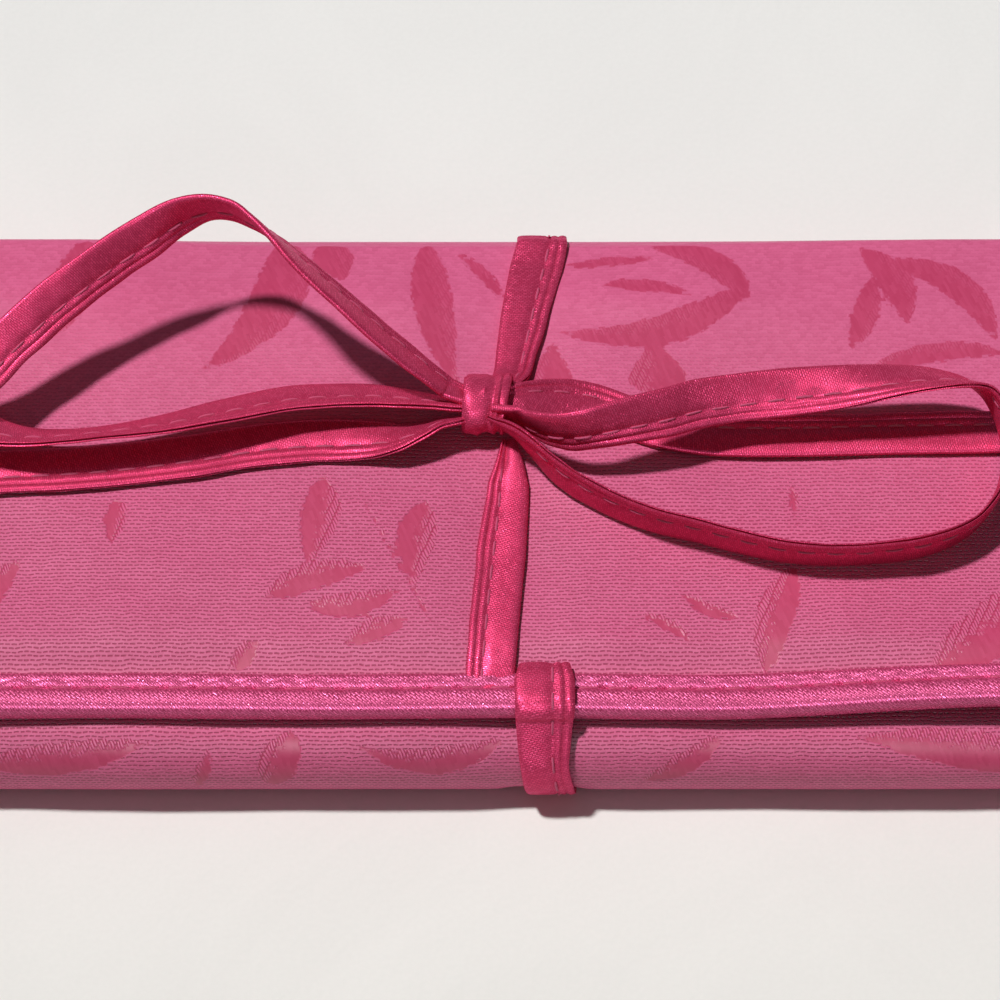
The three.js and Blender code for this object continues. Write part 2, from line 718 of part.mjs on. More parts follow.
// The parts of the tie that go round the pouch
function makeWrap() {
  const knotFront = knotPlace.y - knotSize.y / 2 - tieGap;
  const knotBack = knotPlace.y + knotSize.y / 2 + tieGap;
  const sewn = flapBindingInner + 2 * tieGap;
  piece(
    'tie_short_strand',
    strand(laidStrand([strandX, sewn], [strandX + strandLean, knotFront], 12), 1),
    tieSatin,
  );

  // Out from under the binding, forward over it and down past its nose
  const noseMiddle = flapUnderside(flapPlyFront) + panelThick / 2;
  const foldReach = seamPanel / 2 + bindingOut + offFlap;
  const noseY = -(flapFront - foldReach + offFlap);
  const overBinding = [
    [[wrapX, flapBindingInner + tuck.hidden, noseMiddle + foldReach - tuck.drop], alongX],
    [[wrapX, flapBindingInner - tuck.shown, noseMiddle + foldReach], alongX],
    ...steps(Math.PI / 2, noseTurn, 4).map((angle) => [
      [wrapX, noseY + foldReach * Math.cos(angle), noseMiddle + foldReach * Math.sin(angle)],
      alongX,
    ]),
  ];
  piece('tie_edge_fold', strand(overBinding, 2), tieSatin);

  // Down to where it first touches the front fold, round that and into the groove under the base
  const radius = pocketHeight / 2;
  const foldY = -half.y + radius;
  const overEdge = overBinding.at(-1)[0];
  const frontTop = [wrapX, overEdge[1], overEdge[2] - 2 * tieGap];
  const [toY, toZ] = [frontTop[1] - foldY, frontTop[2] - radius];
  const touch = Math.atan2(toZ, toY) + Math.acos((radius + offFlap) / Math.hypot(toY, toZ));
  const roundFront = steps(touch, Math.PI * 1.5, 7).map((angle) => {
    const lift = slope(1.5 - angle / Math.PI, 0, 0.5);
    const r = radius - grooveAt(wrapX, lift) + offFlap;
    return [[wrapX, foldY + r * Math.cos(angle), radius + r * Math.sin(angle)], alongX];
  });
  piece('tie_front_band', strand([[frontTop, alongX], ...roundFront], 1), tieSatin);

  const low = wrapGroove - offFlap;
  const underEnds = [foldY + tieGap, spineFace - plyGap];
  piece(
    'tie_under_band',
    strand(underEnds.map((y) => [[wrapX, y, low], alongX]), 4),
    tieSatin,
  );

  // Up the spine, round both back folds
  const turn = (centreZ, start, grooved) =>
    steps(start, start + Math.PI / 2, 4).map((angle) => {
      const lift = grooved ? slope(angle, -Math.PI / 2, 0) : 1;
      const r = panelThick - grooveAt(wrapX, lift) + offFlap;
      return [[wrapX, spineFace + r * Math.cos(angle), centreZ + r * Math.sin(angle)], alongX];
    });
  const rear = [...turn(hingeLow, -Math.PI / 2, true), ...turn(hingeHigh, 0, false)];
  piece('tie_rear_band', strand(rear, 1), tieSatin);

  const topStart = spineFace - 3 * tieGap; // the strand slants, so its corner needs the room
  piece(
    'tie_top_strand',
    strand(laidStrand([wrapX, topStart], [topStrandX, knotBack], 3), 1),
    tieSatin,
  );
}

// The bow. Its routes were chosen to lie as the loops and tails lie on the flap; each row is
// the middle of the tie and the way its width points.
const leftLoop = [
  [[-8, 8.8, 20.7], [0.3, 0.8, -0.52]],
  [[-8.5, 9.1, 20.9], [0.28, 0.78, -0.57]],
  [[-10.6, 10, 22.6], [0.26, 0.76, -0.59]],
  [[-13.4, 11.5, 24.4], [0.27, 0.76, -0.59]],
  [[-16.1, 12.9, 26.3], [0.27, 0.75, -0.6]],
  [[-18.7, 14.4, 28.2], [0.27, 0.74, -0.61]],
  [[-21.4, 16.2, 29.9], [0.25, 0.73, -0.64]],
  [[-23.9, 17.8, 31.4], [0.23, 0.71, -0.66]],
  [[-26.4, 19.8, 32.5], [0.19, 0.68, -0.71]],
  [[-29.1, 22.5, 33.1], [0.07, 0.59, -0.8]],
  [[-32, 25.1, 33.2], [-0.06, 0.45, -0.89]],
  [[-34.7, 26.9, 33.1], [-0.08, 0.27, -0.96]],
  [[-37.9, 27.4, 32.8], [0.06, 0.07, -1]],
  [[-41.3, 26.6, 32], [0.31, -0.16, -0.94]],
  [[-45.2, 24.4, 30.8], [0.47, -0.35, -0.81]],
  [[-48.8, 22.1, 30], [0.5, -0.38, -0.77]],
  [[-52.4, 19.5, 29.1], [0.54, -0.39, -0.74]],
  [[-56, 16.9, 28], [0.61, -0.47, -0.64]],
  [[-59.4, 13.9, 26.9], [0.68, -0.51, -0.53]],
  [[-62.8, 10.7, 25.6], [0.73, -0.54, -0.42]],
  [[-65.9, 7.6, 23.6], [0.36, -0.93, -0.1]],
  [[-67.5, 5.6, 21.4], [0.05, -0.99, 0.1]],
  [[-66.1, 4.3, 19.7], [0, -0.97, 0.25]],
  [[-62.9, 3.2, 19.4], [0, -0.86, 0.51]],
  [[-58, 2.6, 19.4], [0, -0.75, 0.66]],
  [[-50.7, 3.1, 19.4], [0, -0.7, 0.71]],
  [[-42.7, 4.5, 19.4], [0, -0.78, 0.62]],
  [[-35.5, 6.4, 19.4], [0, -0.85, 0.53]],
  [[-28.1, 8.2, 19.4], [0, -0.87, 0.5]],
  [[-22.4, 8.6, 19.5], [0, -0.85, 0.53]],
  [[-16.8, 8.6, 19.5], [0, -0.82, 0.57]],
  [[-11.1, 7.8, 19.6], [0, -0.75, 0.66]],
  [[-7.4, 7.1, 19.7], [0, -0.71, 0.71]],
];

const rightLoop = [
  [[0.6, 4.6, 21.1], [0, 0.2, -0.98]],
  [[1.9, 3.4, 21.4], [0, 0.1, -1]],
  [[4, 1.9, 22.3], [0, -0.1, -1]],
  [[6.2, 1.1, 23.1], [0, -0.2, -0.98]],
  [[8.6, 0.9, 23.8], [0, -0.35, -0.94]],
  [[11.3, 1.4, 24.1], [0, -0.5, -0.87]],
  [[14.2, 2.1, 24.2], [0, -0.62, -0.78]],
  [[18.4, 3.3, 24], [0, -0.75, -0.66]],
  [[22.4, 4.8, 23.6], [0, -0.83, -0.55]],
  [[27.4, 5.9, 23.2], [0, -0.87, -0.5]],
  [[33.6, 6.8, 23.2], [0, -0.95, -0.3]],
  [[39.6, 7.2, 23.6], [0, -0.99, -0.1]],
  [[45.6, 7.7, 24.1], [0, -0.96, 0.28]],
  [[50.6, 7.9, 24.3], [0, -0.85, 0.53]],
  [[54.9, 7.7, 23.9], [0.05, -0.65, 0.76]],
  [[57.7, 6.6, 23.2], [0.1, -0.4, 0.91]],
  [[59.3, 4.1, 22.3], [0.1, -0.2, 0.97]],
  [[60, 0.7, 21.3], [0.1, -0.1, 0.99]],
  [[59.6, -3, 20.4], [0.1, -0.15, 0.98]],
  [[58.2, -6.5, 19.9], [0.05, -0.3, 0.95]],
  [[55.9, -9.5, 19.5], [0, -0.3, 0.95]],
  [[53.1, -11.5, 19.4], [0, -0.22, 0.98]],
  [[49, -13.1, 19.4], [0, -0.17, 0.99]],
  [[43.9, -13.9, 19.4], [0, -0.15, 0.99]],
  [[39.1, -14.2, 19.4], [0, -0.15, 0.99]],
  [[33.1, -13.8, 19.4], [0, -0.14, 0.99]],
  [[27.7, -12.5, 19.4], [0, -0.12, 0.99]],
  [[22.2, -10.8, 19.4], [0, -0.1, 0.99]],
  [[16.2, -9, 19.4], [0, -0.08, 1]],
  [[10.3, -6.1, 19.4], [0, -0.05, 1]],
  [[5.5, -2.7, 19.6], [0, -0.05, 1]],
  [[2.1, 0.6, 20.5], [0, -0.2, 0.98]],
  [[0.1, 2.5, 20.7], [0, -0.35, 0.94]],
];

const leftTail = [
  [[-7.1, 5, 19.3], [0, -0.6, 0.8]],
  [[-9.1, 4.7, 19.1], [0, -0.65, 0.76]],
  [[-11.1, 4, 18.7], [0, -0.75, 0.66]],
  [[-13.9, 3.5, 18], [0, -0.88, 0.47]],
  [[-17, 3.6, 17.3], [0, -0.98, 0.2]],
  [[-20.8, 3.7, 16.9], [0, -1, 0.04]],
  [[-25.1, 3.7, 16.8], [0, -1, 0]],
  [[-31.2, 3.1, 16.8], [0, -1, 0]],
  [[-38.7, 1.7, 16.8], [0, -1, 0]],
  [[-45.8, 0.6, 16.8], [0, -1, 0]],
  [[-53.1, -0.2, 16.8], [0, -1, 0]],
  [[-62.9, -0.8, 16.8], [0, -1, 0]],
  [[-71.4, -1.2, 16.8], [0, -1, 0]],
  [[-80, -1.7, 16.6], [0, -1, 0]],
];

const rightTail = [
  [[0.3, 8.6, 18.5], [0, 1, 0]],
  [[2.5, 9, 18.1], [0, 1, 0]],
  [[5.6, 9.2, 17.6], [0, 1, 0]],
  [[9.3, 8.9, 17], [-0.1, 1, 0]],
  [[13.6, 7.4, 16.8], [-0.24, 0.97, 0]],
  [[17.9, 5.8, 16.8], [-0.21, 0.98, 0]],
  [[22.8, 4.8, 16.8], [-0.08, 1, 0]],
  [[27.7, 4.5, 16.8], [0, 1, 0]],
  [[35, 4.5, 16.8], [0, 1, 0]],
  [[44.9, 4.8, 16.8], [0, 1, 0]],
  [[57.8, 5, 16.8], [0, 1, 0]],
  [[69.5, 5.5, 16.8], [0, 1, 0]],
  [[79.4, 6.1, 16.6], [0, 1, 0]],
];

function makeBow() {
  const knotLow = onFlap(knotPlace.x, knotPlace.y) - tieThick / 2;
  const middle = knotLow + knotSize.z / 2;
  const outline = (x) => {
    const waist = 1 - knotWaist * ((2 * (x - knotPlace.x)) / knotSize.x) ** 2;
    return steps(0, 2 * Math.PI, 16)
      .slice(0, -1)
      .map((angle) => {
        const square = 1 + knotSquare * Math.sin(2 * angle) ** 2;
        return [
          knotPlace.y + (knotSize.y / 2) * waist * Math.cos(angle) * Math.min(square, 1 / waist),
          middle + (knotSize.z / 2) * Math.sin(angle),
        ];
      });
  };
  const xs = steps(knotPlace.x - knotSize.x / 2, knotPlace.x + knotSize.x / 2, 4);
  piece('bow_knot', loft(xs, outline, (x, a, b) => new THREE.Vector3(x, a, b)), tieSatin);
  piece('bow_loop_left', strand(leftLoop, 1), tieSatin);
  piece('bow_loop_right', strand(rightLoop, 1), tieSatin);
  piece('bow_tail_left', strand(leftTail, 1), tieSatin);
  piece('bow_tail_right', strand(rightTail, 1), tieSatin);
}

makeLowerBody();
makeZipBacking();
makeLowerBindings();
makeMouthBinding();
makeSpine();
makeFold('rear_lower_fold', hingeLow, -Math.PI / 2, true);
makeFold('rear_upper_fold', hingeHigh, 0, false);
makeFlap();
makeZip();
makeSlider();
makeWrap();
makeBow();

export default pouch;
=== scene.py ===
import math

import bpy
import numpy as np
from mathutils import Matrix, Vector


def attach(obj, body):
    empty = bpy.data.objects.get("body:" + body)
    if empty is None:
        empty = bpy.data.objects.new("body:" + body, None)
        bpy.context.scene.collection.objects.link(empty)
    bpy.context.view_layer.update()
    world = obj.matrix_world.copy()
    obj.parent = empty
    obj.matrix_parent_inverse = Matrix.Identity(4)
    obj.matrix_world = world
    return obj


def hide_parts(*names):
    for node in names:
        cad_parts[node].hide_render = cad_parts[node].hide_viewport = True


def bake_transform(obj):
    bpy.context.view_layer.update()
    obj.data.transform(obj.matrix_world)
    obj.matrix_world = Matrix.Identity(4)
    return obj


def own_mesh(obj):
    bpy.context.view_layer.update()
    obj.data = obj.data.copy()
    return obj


# The looks of a padded brocade jewelry pouch, folded shut and tied with a satin bow.
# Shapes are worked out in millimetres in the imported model's frame and stored in metres.
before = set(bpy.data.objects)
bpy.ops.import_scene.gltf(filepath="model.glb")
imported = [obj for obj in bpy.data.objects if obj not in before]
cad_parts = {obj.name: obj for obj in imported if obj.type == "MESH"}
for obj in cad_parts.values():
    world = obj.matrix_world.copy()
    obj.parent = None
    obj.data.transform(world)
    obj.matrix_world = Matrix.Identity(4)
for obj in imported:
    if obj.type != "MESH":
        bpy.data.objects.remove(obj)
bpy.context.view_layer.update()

MM = 0.001
SHARP_ANGLE = math.radians(40.0)  # edges sharper than this aren't smoothed

# Sizes of the closed pouch, as its solids have them
HALF_WIDTH = 95.0
HALF_DEPTH = 38.0
PANEL = 2.9  # thickness of the padded panel
SEAM = 1.3  # the same where it is sewn flat, without wadding
SUNK = (PANEL - SEAM) / 2
BROCADE = 0.6
WADDING = (0.9, 2.2)  # depths of its two faces below the panel's outside
LINING = 0.4
SPINE_FACE = HALF_DEPTH - PANEL  # inner face of the spine, and both hinge lines
HINGE_LOW = PANEL
HINGE_HIGH = 12.6
MID_SPINE = (HINGE_LOW + HINGE_HIGH) / 2
POCKET_TOP = 11.9
SEAM_LIFT = 1.3  # the side seams hang this far above the underside
SEAM_TOP = 6.2
PLY_SIDE = 93.7
PLY_FRONT = -32.9  # front edge of the flap's plies
FLAP_EDGE = -34.2  # outside of the binding round it
FLAP_CROWN = 0.5
FLAP_DIP = 0.4  # the middle of the flap's front edge lies this much nearer the pocket
CORNER_LIFT = 2.6  # and its right corner stands this far off it
FLAP_BACK = (0.85, 0.55)  # the front edge is drawn back, and this much more on the right
POCKET_DIP = 0.7  # the pocket lies lower under the lifted corner
SWELLS = ((34.0, 0.28, 5), (9.0, 0.05, 8))  # length, height and seed of the padding's waves
TIE_DENT = (1.0, 6.0, 0.45)  # middle, reach and depth of its dip beside the tie
SHOULDER = 1.45  # the padding gives this much where it turns over the back
WAIST = 0.75  # and this much more near the tie, which draws it in
FOOT_BULGE = 0.02  # the front fold's lower half stands out from a circle by this share
MOUTH = 16.0
MOUTH_DROP = 0.8
SEAM_FLAT = 3.6
SEAM_TAPER = 14.0
EDGE_TAPER = 5.0
LINING_ROOM = (1.1, 0.8)  # over the base, and added along the zip
LINING_COLUMN = 50  # the way along the lining is measured down this column of its points

# The satin binding and the tie
BIND_WIDTH = 5.2
BIND_OUT = 1.0  # from the seam it wraps to its outside
JOIN_GAP = 0.3  # between cloths or bindings that meet
ROLL_TURN = 0.62 * math.pi  # how far round its roll goes, up and down
STITCH_LINE = 1.9  # from the binding's inner edge
STITCH_PITCH = 3.5
STITCH_LENGTH = 2.3
STITCH_RADIUS = 0.17
STITCH_RISE = 0.12  # how high its thread arches
STITCH_OUT = 0.36  # from the seam's face to it
TIE_X = 3.5  # the part that goes round the pouch
GROOVE = 1.2  # how deep it presses into the base
GROOVE_HALF = 3.3
GROOVE_SLOPE = 2.5
KNOT = (-3.5, 7.45, 19.4)

# The zip
ZIP_Y = 25.5
ZIP_Z = 3.95
ZIP_HALF = 59.0
TOOTH_PITCH = 1.9
FIRST_TOOTH = 0.33  # from the row's end to its middle
ZIP_SLOT = (-61.9, 66.0, 22.2, 28.8)
TAPE_ENDS = (-59.6, 65.6)
TAPE_EDGES = (0.8, 6.8)  # from the zip's middle
TAPE_HALF = 0.14  # half its thickness
TAPE_CORD = (1.2, 0.22)  # where the cord along its edge is, and how much it adds


def smooth(value, start, end):
    """0 up to start, 1 from end on, and 3tt - 2ttt of the share t between them."""
    t = np.clip((value - start) / (end - start), 0.0, 1.0)
    return t * t * (3.0 - 2.0 * t)


def mix(a, b, share):
    """a at share 0, b at 1, and in proportion between."""
    return a + (b - a) * share


def grid(values):
    """Arrays side by side, as points."""
    return np.stack(np.broadcast_arrays(*values), -1)


def ripple(u, v, size, height, seed):
    """The sum of eight sine waves near that length, each turned its own way, about height high."""
    rng = np.random.default_rng(seed)
    total = 0.0
    for turn, phase, stretch in rng.uniform((0, 0, 0.7), (math.pi, 2 * math.pi, 1.6), (8, 3)):
        run = u * math.cos(turn) + v * math.sin(turn)
        total = total + np.sin(run * 2 * math.pi / (size * stretch) + phase)
    return total * height / 4


def ripple_along(s, size, seed, height=1.0):
    """A ripple along a line, as a column."""
    return ripple(s, 0.0, size, height, seed)[:, None]


def srgb(red, green, blue):
    """A colour given in screen values from 0 to 255, as linear light."""
    share = np.array([red, green, blue]) / 255
    linear = np.where(share <= 0.04045, share / 12.92, ((share + 0.055) / 1.055) ** 2.4)
    return (*linear.tolist(), 1.0)


def unit(vectors):
    """The vectors at length 1."""
    return vectors / np.linalg.norm(vectors, axis=-1, keepdims=True)


def square_to(vectors, ways):
    """The vectors without their share along the unit ways, at length 1."""
    return unit(vectors - (vectors * ways).sum(-1, keepdims=True) * ways)


def run_along(points):
    """The length so far at each of a row of points."""
    steps = np.linalg.norm(np.diff(points, axis=0), axis=1)
    return np.concatenate([[0], np.cumsum(steps)])


def sample(wanted, station, values):
    """Each column of values, read at the wanted stations."""
    return np.stack([np.interp(wanted, station, column) for column in values.T], -1)


def show(name, data):
    """A new object in the scene, at the origin and unturned."""
    made = bpy.data.objects.new(name, data)
    bpy.context.scene.collection.objects.link(made)
    return made


def aim(made, way):
    """Points a lamp's or camera's -Z along way, its top towards +Y."""
    made.rotation_mode = "QUATERNION"
    made.rotation_quaternion = Vector(way).to_track_quat("-Z", "Y")


# Shapes are triples: points, four-cornered faces, and each corner's place on the cloth
def ply_shape(outer, inner, u, v, keep=None):
    """A cloth with two faces, each an n by m grid of points, walled where its kept cells end.
    u and v are the way across and along it."""
    rows, columns = outer.shape[:2]
    count = rows * columns
    index = np.arange(count).reshape(rows, columns)
    cells = np.stack([index[:-1, :-1], index[1:, :-1], index[1:, 1:], index[:-1, 1:]], -1)
    if keep is None:
        keep = np.ones((rows - 1, columns - 1), bool)
    around = np.pad(keep, 1)
    faces = [cells[keep], cells[keep][:, ::-1] + count]
    for side, (down, right) in enumerate(((0, -1), (1, 0), (0, 1), (-1, 0))):
        beyond = around[1 + down:rows + down, 1 + right:columns + right]
        edge = cells[keep & ~beyond]
        a, b = edge[:, side], edge[:, (side + 1) % 4]
        faces.append(np.stack([b, a, a + count, b + count], -1))
    faces = np.concatenate(faces)
    cloth = grid((u, v)).reshape(-1, 2)[faces % count]
    points = np.concatenate([outer.reshape(-1, 3), inner.reshape(-1, 3)])
    return points, faces, cloth


def tube_shape(rings, around, along, closed=False):
    """A closed section of m points carried through n rings. The section's point k faces its
    point m-1-k, so a flat end is a strip between its two halves."""
    count, corners = rings.shape[:2]
    ring = np.arange(count if closed else count - 1)[:, None]
    corner = np.arange(corners)[None, :]
    next_ring, next_corner = (ring + 1) % count, (corner + 1) % corners
    at = [ring * corners + corner, ring * corners + next_corner,
          next_ring * corners + next_corner, next_ring * corners + corner]
    faces = np.stack(at, -1).reshape(-1, 4)
    places = [grid((around[corner + right], along[ring + up]))
              for right, up in ((0, 0), (1, 0), (1, 1), (0, 1))]
    cloth = np.stack(places, -2).reshape(-1, 4, 2)
    if not closed:
        k = np.arange(corners // 2 - 1)
        end = np.stack([k, corners - 1 - k, corners - 2 - k, k + 1], -1)
        start_cloth = np.stack([around[end], np.full(end.shape, along[0])], -1)
        faces = np.concatenate([faces, end, end[:, ::-1] + (count - 1) * corners])
        cloth = np.concatenate([cloth, start_cloth, start_cloth[:, ::-1]])
    return rings.reshape(-1, 3), faces, cloth


def many_tubes(rings, around, along):
    """Tubes of one kind; rings holds the rings of each."""
    count = len(rings)
    points = rings.reshape(count, -1, 3)
    _, faces, cloth = tube_shape(rings[0], around, along)
    offsets = np.arange(count)[:, None, None] * points.shape[1]
    cloth = np.broadcast_to(cloth, (count, *cloth.shape))
    return points.reshape(-1, 3), (faces + offsets).reshape(-1, 4), cloth.reshape(-1, 4, 2)


def stitch_shape(places, tangents, normals, length, radius):
    """Stitches of thread: each is a six-sided bar that arches up along its tangent. Over its
    length from -1/2 to 1/2 it stands 1 - 4ll of the rise high."""
    lengthwise = np.array([-0.5, -0.47, -0.3, 0.0, 0.3, 0.47, 0.5])
    thickness = np.array([0.25, 0.75, 1.0, 1.0, 1.0, 0.75, 0.25])
    turn = (np.arange(6) + 0.5) * math.pi / 3
    height = STITCH_RISE * (1 - (2 * lengthwise) ** 2) - radius * 0.4
    thick = radius * thickness[:, None]
    template = grid(((lengthwise * length)[:, None], thick * np.cos(turn),
                     height[:, None] + thick * np.sin(turn)))
    axes = np.stack([tangents, np.cross(tangents, normals), normals], 1)
    rings = places[:, None, None] + np.einsum("rcx,kxy->krcy", template, axes)
    return many_tubes(rings, np.linspace(0, 1, 7), lengthwise * length)


def facing_out(shape):
    """Turns the faces round if the shape's signed volume is below zero."""
    points, faces, cloth = shape
    a, b, c, d = (points[faces[:, k]] for k in range(4))
    volume = np.einsum("ij,ij->", a, np.cross(b, c) + np.cross(c, d))
    return shape if volume > 0 else (points, faces[:, ::-1], cloth[:, ::-1])


def piece(name, parts):
    """One object from shapes and their materials, joined, smooth except at its sharp edges."""
    shapes = [facing_out(shape) for shape, _ in parts]
    starts = np.cumsum([0] + [len(points) for points, _, _ in shapes])
    points = np.concatenate([points for points, _, _ in shapes])
    faces = np.concatenate([faces + start for (_, faces, _), start in zip(shapes, starts)])
    cloth = np.concatenate([places for _, _, places in shapes])
    paint = np.concatenate([np.full(len(f), k) for k, (_, f, _) in enumerate(shapes)])
    mesh = bpy.data.meshes.new(name)
    mesh.vertices.add(len(points))
    mesh.vertices.foreach_set("co", (points * MM).astype(np.float32).ravel())
    mesh.loops.add(faces.size)
    mesh.loops.foreach_set("vertex_index", faces.astype(np.int32).ravel())
    mesh.polygons.add(len(faces))
    mesh.polygons.foreach_set("loop_start", np.arange(0, faces.size, 4, dtype=np.int32))
    mesh.update(calc_edges=True)
    uv = mesh.uv_layers.new(name="cloth")
    uv.data.foreach_set("uv", cloth.astype(np.float32).ravel())
    for _, material in parts:
        mesh.materials.append(material)
    mesh.polygons.foreach_set("material_index", paint.astype(np.int32))
    mesh.polygons.foreach_set("use_smooth", np.ones(len(faces), bool))
    mesh.set_sharp_from_angle(angle=SHARP_ANGLE)
    return show(name, mesh)


def ply(name, faces, u, v, material, keep=None):
    """An object of one cloth; see ply_shape."""
    return piece(name, [(ply_shape(*faces, u, v, keep), material)])


# Materials
class Tree:
    """Fills a node tree: each call adds a node, feeds its inputs and gives one output."""

    def __init__(self, tree):
        self.tree = tree

    def node(self, kind, *values, output=0, named=None, **settings):
        """values feed its inputs in their order, and named ones by name."""
        made = self.tree.nodes.new("ShaderNode" + kind)
        for name, value in settings.items():
            setattr(made, name, value)
        for socket, value in [*zip(made.inputs, values),
                              *((made.inputs[n], value) for n, value in (named or {}).items())]:
            self.fill(socket, value)
        return made.outputs[output]

    def fill(self, socket, value):
        """Links a value that comes out of a node, and sets any other but None."""
        if isinstance(value, bpy.types.NodeSocket):
            self.tree.links.new(value, socket)
        elif value is not None:
            socket.default_value = value[:3] if socket.type == "VECTOR" else value

    def math(self, operation, *values):
        return self.node("Math", *values, operation=operation)

    def plus(self, a, b):
        return self.math("ADD", a, b)

    def minus(self, a, b):
        return self.math("SUBTRACT", a, b)

    def times(self, a, b):
        return self.math("MULTIPLY", a, b)

    def noise(self, place, output=0, **inputs):
        return self.node("TexNoise", place, output=output, named=inputs)

    def scale(self, vector, factor):
        return self.node("VectorMath", vector, operation="SCALE", named={"Scale": factor})

    def blend(self, share, a, b):
        """Colour a at share 0 and colour b at 1."""
        return self.node("Mix", share, None, None, None, None, None, a, b,
                         output=2, data_type="RGBA")

    def fade(self, value, low, high, start=0.0, end=1.0):
        """start where value is low, end where it is high, and a smooth slope between."""
        return self.node("MapRange", value, low, high, start, end,
                         interpolation_type="SMOOTHSTEP")

    def group(self, tree, output, **inputs):
        """Uses a group, and gives the listed outputs."""
        made = self.tree.nodes.new("ShaderNodeGroup")
        made.node_tree = tree
        for name, value in inputs.items():
            self.fill(made.inputs[name], value)
        return [made.outputs[name] for name in output]

    def give(self, **outputs):
        """Ends a group with what comes out of it."""
        end = self.tree.nodes.new("NodeGroupOutput").inputs
        for name, value in outputs.items():
            self.fill(end[name], value)
        return self.tree


def new_group(name, inputs, outputs):
    """An empty node group with the named sockets, and what its input node gives. All sockets
    hold numbers but Cloth, which holds a place."""
    tree = bpy.data.node_groups.new(name, "ShaderNodeTree")
    for in_out, sockets in (("INPUT", inputs), ("OUTPUT", outputs)):
        for socket in sockets:
            kind = "NodeSocketVector" if socket == "Cloth" else "NodeSocketFloat"
            tree.interface.new_socket(name=socket, in_out=in_out, socket_type=kind)
    return Tree(tree), tree.nodes.new("NodeGroupInput").outputs


def make_weave():
    """Threads that float over the cloth in rows. Each float is a rounded bar; along a row they
    follow each other at the float's pitch, and each row is shifted against the last. Dash is 1
    in the short dark gap below the middle of each float."""
    made, given = new_group("weave", ["Cloth", "Float", "Row", "Shift", "Turn"],
                            ["Height", "Thread", "Dash"])
    wander = made.noise(given["Cloth"], output="Color", Scale=0.6, Detail=1.0)
    wander = made.node("VectorMath", wander, (0.5, 0.5, 0.5), operation="SUBTRACT")
    place = made.node("VectorMath", given["Cloth"], made.scale(wander, 0.5), operation="ADD")
    turned = made.node("VectorRotate", place, None, None, given["Turn"], rotation_type="Z_AXIS")
    place = made.node("SeparateXYZ", turned).node.outputs
    rows = made.math("DIVIDE", place["Y"], given["Row"])
    row = made.math("FLOOR", rows)
    floats = made.math("DIVIDE", place["X"], given["Float"])
    floats = made.plus(floats, made.times(row, given["Shift"]))
    off = [made.math("ABSOLUTE", made.minus(made.math("FRACT", value), 0.5))
           for value in (floats, rows)]
    lengthwise = made.fade(off[0], 0.3, 0.5, 1.0, 0.0)
    crosswise = made.fade(off[1], 0.16, 0.5, 1.0, 0.0)
    cell = made.node("CombineXYZ", made.math("FLOOR", floats), row)
    thread = made.node("TexWhiteNoise", cell, noise_dimensions="2D")
    low = made.math("ABSOLUTE", made.minus(made.math("FRACT", rows), 0.2))
    dash = made.times(made.fade(low, 0.05, 0.26, 1.0, 0.0),
                      made.fade(off[0], 0.24, 0.46, 1.0, 0.0))
    return made.give(Height=made.times(lengthwise, crosswise), Thread=thread, Dash=dash)


def make_patches():
    """Slow changes of tone over the cloth, from one noise, as a factor about 1."""
    made, given = new_group("patches", ["Size", "Depth"], ["Tone"])
    place = made.node("TexCoord", output="Object")
    noise = made.noise(place, Scale=made.math("DIVIDE", 1.0, given["Size"]), Detail=4.0)
    swing = made.times(made.minus(noise, 0.5), given["Depth"])
    return made.give(Tone=made.plus(swing, 1.0))


WEAVE = make_weave()
PATCHES = make_patches()


def new_material(name, roughness, **shader):
    """A material with its Principled shader, whose steady numbers are set on its own sockets."""
    material = bpy.data.materials.new(name)
    material.use_nodes = True
    sockets = material.node_tree.nodes["Principled BSDF"].inputs
    sockets["Roughness"].default_value = roughness
    for socket, value in shader.items():
        sockets[socket.replace("_", " ")].default_value = value
    return material, Tree(material.node_tree), sockets


def tone(made, colour, size, depth):
    """The colour times the slow patches' tone."""
    (factor,) = made.group(PATCHES, ["Tone"], Size=size, Depth=depth)
    return made.scale(colour, factor)


def bump(made, sockets, height, depth, strength=1.0):
    """Raises the surface by height times depth, in metres."""
    normal = made.node("Bump", named={"Strength": strength, "Distance": depth, "Height": height})
    made.fill(sockets["Normal"], normal)


